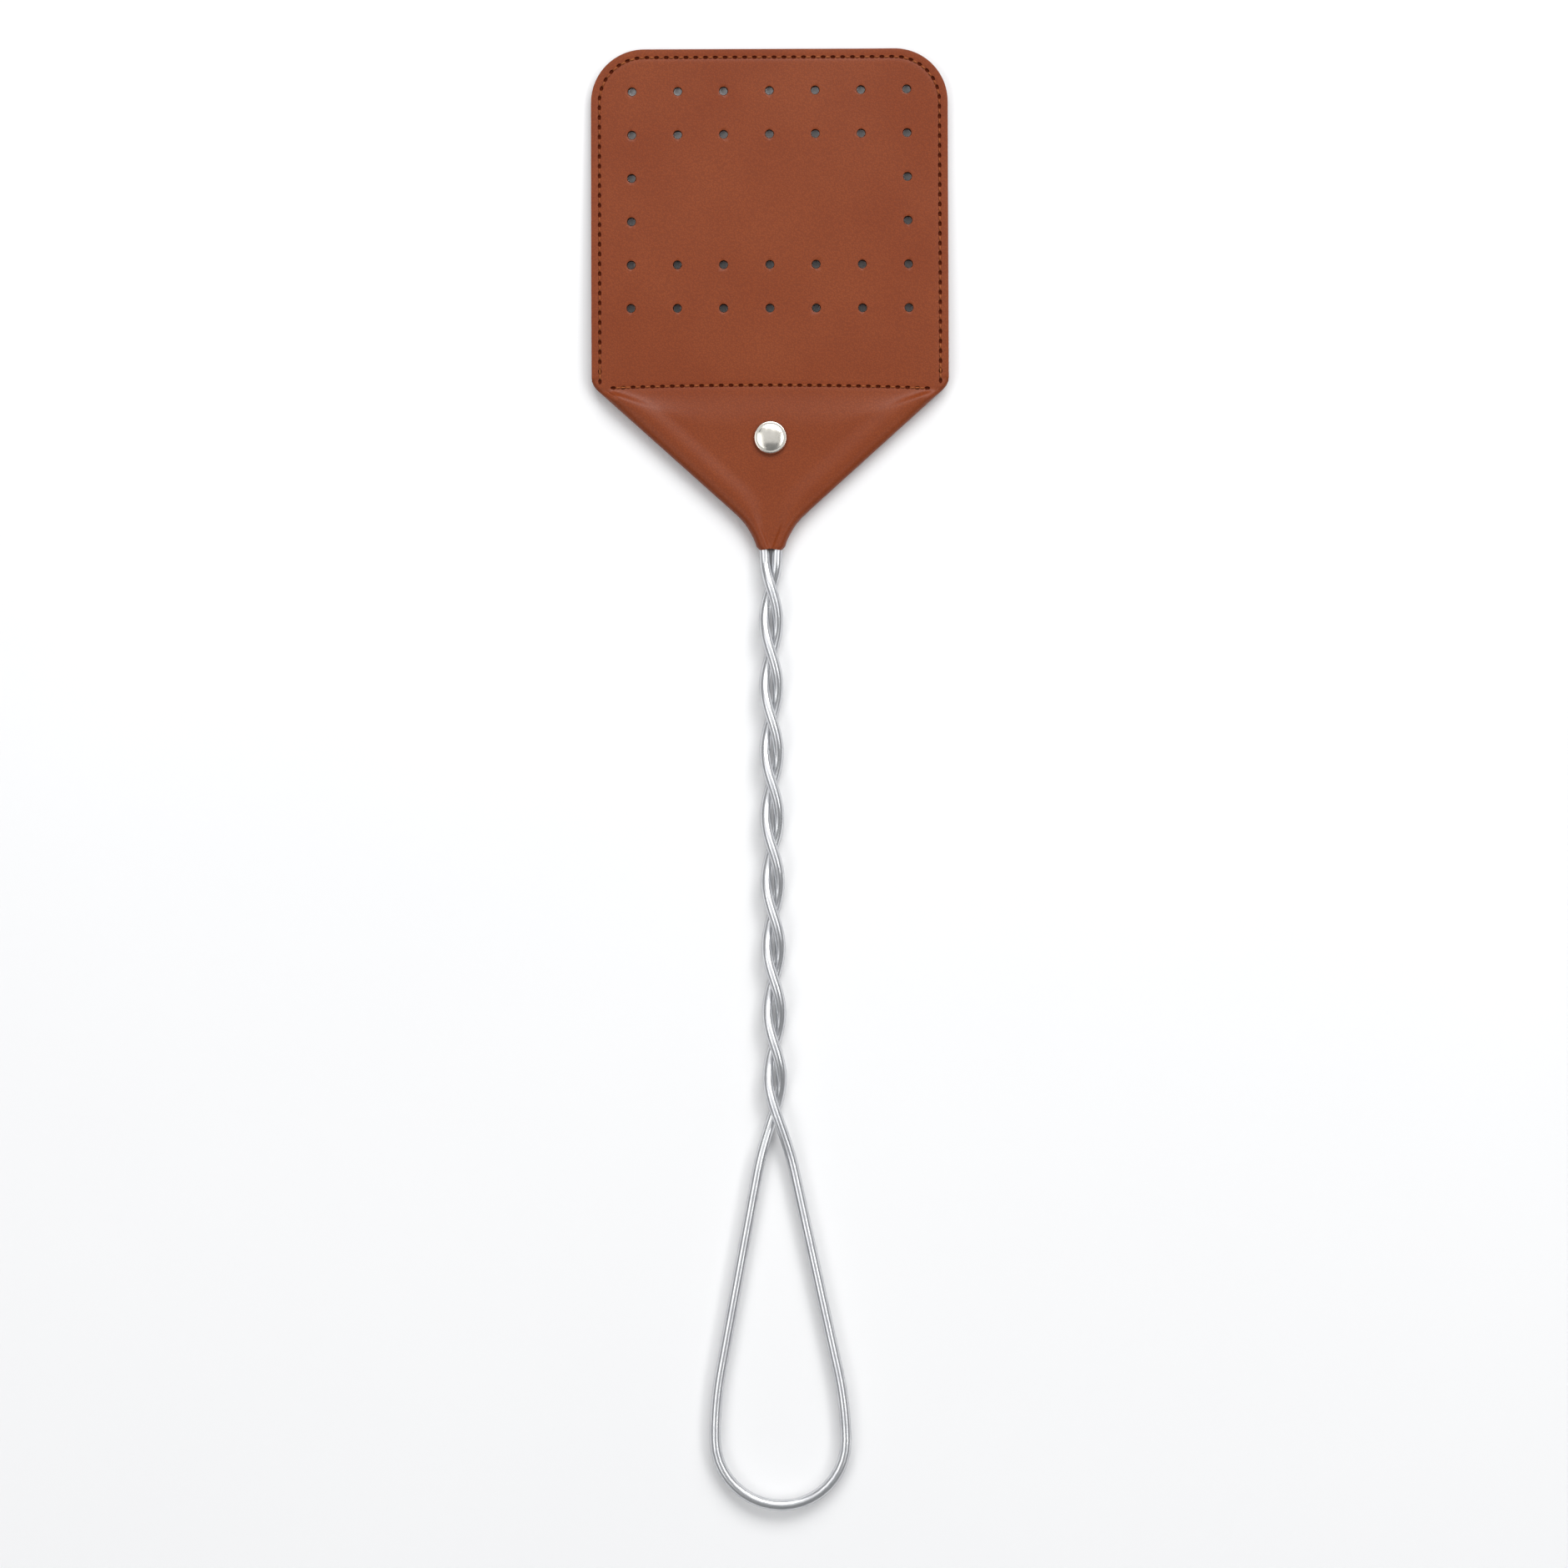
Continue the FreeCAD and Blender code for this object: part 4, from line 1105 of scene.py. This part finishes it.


# %% [markdown]
# ### Leather
#
# The leather is dyed tan and has a fine printed grain. The grain is two sizes of pebbles under a little
# noise. The dye is a touch darker and redder in slow patches, and the creases of the grain are coloured a
# little darker. The finish is satin, so the rolled edges show a soft highlight.


# %% Leather finishes
def dyed_leather(name, light, middle, dark, shine):
    """Tan leather with a fine grain."""
    finish = Finish(name)
    patches = finish.spread(finish.noise(38.0, 4.0), 0.35, 0.65)
    speckle = finish.spread(finish.noise(1400.0, 2.0), 0.3, 0.7)
    pebbles = finish.spread(finish.cells(1900.0), 0.0, 0.62)
    small_pebbles = finish.spread(finish.cells(4300.0), 0.0, 0.7)
    grain = finish.math("MULTIPLY", pebbles, 0.65)
    grain = finish.math("ADD", grain, finish.math("MULTIPLY", small_pebbles, 0.35))
    base = finish.blend(patches, colour(*middle), colour(*light))
    crease = finish.math("MULTIPLY", finish.spread(grain, 0.55, 0.95), 0.4)
    base = finish.blend(crease, base, colour(*dark))
    base = finish.blend(finish.math("MULTIPLY", speckle, 0.14), base, colour(*dark))
    finish.set(Base_Color=base)
    rough = finish.spread(patches, 0.0, 1.0, shine, shine + 0.05)
    rough = finish.math("ADD", rough, finish.math("MULTIPLY", grain, 0.08))
    finish.set(Roughness=rough)
    finish.set(Specular_IOR_Level=0.26)
    height = finish.math("ADD", finish.math("MULTIPLY", grain, -1.0), finish.math("MULTIPLY", speckle, 0.25))
    finish.bump(height, 0.00005, 0.4)


dyed_leather("tan_leather", (0.246, 0.049, 0.0090), (0.223, 0.041, 0.0068), (0.126, 0.019, 0.003), 0.33)
dyed_leather("tan_leather_back", (0.235, 0.048, 0.0135), (0.212, 0.040, 0.0105), (0.118, 0.018, 0.005), 0.42)


def rough_leather_and_hole_shade(name, first, second, scale, rough, relief, gloss=0.2):
    """Leather without its finish: fibres of two colours. Near black, it is the painted shade inside holes.
    """
    finish = Finish(name)
    fibres = finish.spread(finish.noise(scale, 6.0, 0.7), 0.3, 0.7)
    finish.set(Base_Color=finish.blend(fibres, colour(*first), colour(*second)))
    finish.set(Roughness=finish.spread(fibres, 0.0, 1.0, rough, min(1.0, rough + 0.12)))
    finish.set(Specular_IOR_Level=gloss)
    finish.bump(fibres, relief, 0.8)


rough_leather_and_hole_shade("flesh_side", (0.30, 0.16, 0.085), (0.42, 0.25, 0.145), 1500.0, 0.85, 0.00012)
# Painted shade: the walls of the punched holes and the needle's pits are near black, far darker than raw
# leather, with little or no gloss, so that the holes read as dark.
rough_leather_and_hole_shade("cut_hole_painted_shade", (0.045, 0.016, 0.009), (0.085, 0.030, 0.016), 2200.0, 0.75, 0.00008, 0.05)
rough_leather_and_hole_shade("needle_hole_painted_shade", (0.070, 0.012, 0.005), (0.120, 0.022, 0.009), 2600.0, 0.80, 0.00006, 0.0)
rough_leather_and_hole_shade("edge_paint", (0.085, 0.030, 0.024), (0.120, 0.042, 0.030), 900.0, 0.36, 0.00004)

# %% [markdown]
# ### Thread and metal
#
# The thread is waxed and slightly lighter than the leather. Galvanised wire is drawn through a die and
# dipped in zinc: fine lines run along it, the zinc is cloudy, and it isn't quite smooth. The wire's own
# UV map runs along and round it, so the lines follow every bend. The rivet is polished nickel with tiny
# scuffs.


# %% Thread, wire and rivet
def waxed_thread():
    """Twisted sewing thread."""
    finish = Finish("waxed_thread")
    fibres = finish.noise(3800.0, 3.0, 0.6)
    shade = finish.spread(finish.noise(260.0, 2.0), 0.3, 0.7)
    base = finish.blend(shade, colour(0.290, 0.072, 0.019), colour(0.360, 0.105, 0.030))
    base = finish.blend(finish.spread(fibres, 0.45, 0.75, 0.0, 0.5), base, colour(0.15, 0.030, 0.009))
    finish.set(Base_Color=base, Roughness=finish.spread(fibres, 0.3, 0.7, 0.5, 0.65))
    finish.set(Specular_IOR_Level=0.2)
    finish.bump(fibres, 0.00006, 0.6)


def galvanised_steel():
    """Zinc-coated drawn wire."""
    finish = Finish("galvanised_steel")
    round_wire = finish.add("ShaderNodeUVMap").outputs["UV"]
    lines = finish.noise(1.0, 4.0, 0.6, finish.stretched(round_wire, (40.0, 34.0, 1.0)))
    clouds = finish.spread(finish.noise(190.0, 4.0, 0.6), 0.3, 0.7)
    pits = finish.spread(finish.noise(2400.0, 2.0, 0.5), 0.62, 0.74)
    base = finish.blend(clouds, colour(0.66, 0.67, 0.69), colour(0.80, 0.81, 0.82))
    base = finish.blend(finish.math("MULTIPLY", pits, 0.5), base, colour(0.42, 0.42, 0.44))
    finish.set(Base_Color=base, Metallic=1.0)
    rough = finish.spread(clouds, 0.0, 1.0, 0.30, 0.22)
    finish.set(Roughness=finish.math("ADD", rough, finish.math("MULTIPLY", lines, 0.10)))
    # Painted reflection: the grey edge tint darkens the wire along its rims, as if they reflected something
    # dark.
    finish.set(Specular_Tint=colour(0.55, 0.55, 0.57))
    height = finish.math("SUBTRACT", finish.math("MULTIPLY", lines, 0.6), finish.math("MULTIPLY", pits, 0.4))
    finish.bump(height, 0.00004, 0.5)


def nickel_plate():
    """Polished nickel with fine scuffs."""
    finish = Finish("nickel_plate")
    scuffs = finish.noise(700.0, 5.0, 0.7, finish.stretched(finish.place, (1.0, 0.25, 1.0)))
    haze = finish.spread(finish.noise(320.0, 3.0), 0.3, 0.7)
    base = finish.blend(haze, colour(0.66, 0.63, 0.57), colour(0.76, 0.73, 0.67))
    finish.set(Base_Color=base, Metallic=1.0)
    finish.set(Roughness=finish.spread(scuffs, 0.4, 0.7, 0.17, 0.26))
    finish.bump(scuffs, 0.00001, 0.4)


waxed_thread()
galvanised_steel()
nickel_plate()
print("finishes:", sorted(material.name for material in bpy.data.materials))

# %% [markdown]
# ## Fixing every piece to the frame
#
# A piece that belongs to the stiff end rides on the handle. The leathers and the edge seam cross the line
# that the paddle bends about; they stay where they are, with their place baked into the mesh. Every new
# piece took its finish when it was made, and the CAD nodes that the new pieces stand for are hidden.

for piece in (front_sheet, back_sheet, edge_stitches_front, edge_stitches_back):
    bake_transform(piece)
for piece in (cross_stitches_front, cross_stitches_back, wire, cap, foot):
    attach(piece, "handle")

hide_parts("front_leather", "yoke_leather")
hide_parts("back_leather", "back_leather_strip")
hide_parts("edge_seam_needle_thread", "edge_seam_end_needle_thread")
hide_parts("edge_seam_bobbin_thread", "edge_seam_end_bobbin_thread")
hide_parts("cross_seam_needle_thread")
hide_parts("cross_seam_bobbin_thread")
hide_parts("handle_wire")
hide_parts("rivet_cap")
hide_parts("rivet_stud")

# %% [markdown]
# ## Table, light and camera
#
# The swatter lies on a white table. The key light is large and soft, and stands beyond the top edge and a
# little to the right. Two long, weak lights at the left and the right shine along the rolled edges, and
# another hangs overhead. The white room fills the rest. The camera looks straight down from more than a
# metre away through a long lens. Its picture is turned by a fifth of a degree.

# %% Table
deselect_all()
bpy.ops.mesh.primitive_plane_add(size=8, location=(0, 0, 0))
table = bpy.context.object
table.name = "table"
table_finish = Finish("white_table")
table_cloud = table_finish.noise(6.0, 2.0)
table_colour = table_finish.blend(table_cloud, colour(0.87, 0.87, 0.875), colour(0.90, 0.90, 0.90))
table_finish.set(Base_Color=table_colour, Roughness=0.7, Specular_IOR_Level=0.2)
table.data.materials.append(table_finish.material)

# %% Lights
MIDDLE = (cad_low + cad_high) / 2


def soft_light(name, offset, width, length, power):
    """A long soft light beside the swatter, which looks at its middle."""
    data = bpy.data.lights.new(name, "AREA")
    data.shape = "RECTANGLE"
    data.size = length
    data.size_y = width
    data.energy = power
    light = bpy.data.objects.new(name, data)
    light.location = MIDDLE + Vector(offset)
    light.rotation_euler = (-Vector(offset)).to_track_quat("-Z", "Y").to_euler()
    bpy.context.collection.objects.link(light)


soft_light("key_light", (0.39, 1.50, 1.40), 1.00, 2.20, 37.0)
soft_light("left_light", (-0.72, -0.14, 1.05), 0.55, 1.30, 4.0)
soft_light("right_light", (0.80, -0.06, 1.05), 0.34, 1.10, 3.4)
soft_light("top_light", (0.0, 0.38, 1.30), 1.20, 1.30, 2.7)

ROOM_COLOUR = (0.95, 0.97, 1.0, 1.0)
ROOM_STRENGTH = 0.26

world = bpy.data.worlds.new("white_room")
bpy.context.scene.world = world
world.use_nodes = True
background = world.node_tree.nodes["Background"]
background.inputs["Color"].default_value = ROOM_COLOUR
background.inputs["Strength"].default_value = ROOM_STRENGTH

# %% Camera
FRAME_HEIGHT = 0.470
PICTURE_TURN = math.radians(0.2)
PICTURE_SHIFT = (0.0037, -0.0014)
LENS = 85.0
SENSOR = 36.0

camera_data = bpy.data.cameras.new("camera")
camera_data.lens = LENS
camera_data.sensor_width = SENSOR
camera = bpy.data.objects.new("camera", camera_data)
bpy.context.collection.objects.link(camera)
distance = FRAME_HEIGHT * LENS / SENSOR
camera.location = (*PICTURE_SHIFT, AXIS_Z + distance)
camera.rotation_euler = (0.0, 0.0, -PICTURE_TURN)
bpy.context.scene.camera = camera
bpy.context.scene.view_settings.view_transform = "Standard"

# %% [markdown]
# ## The last update

# %% Update the view layer
bpy.context.view_layer.update()
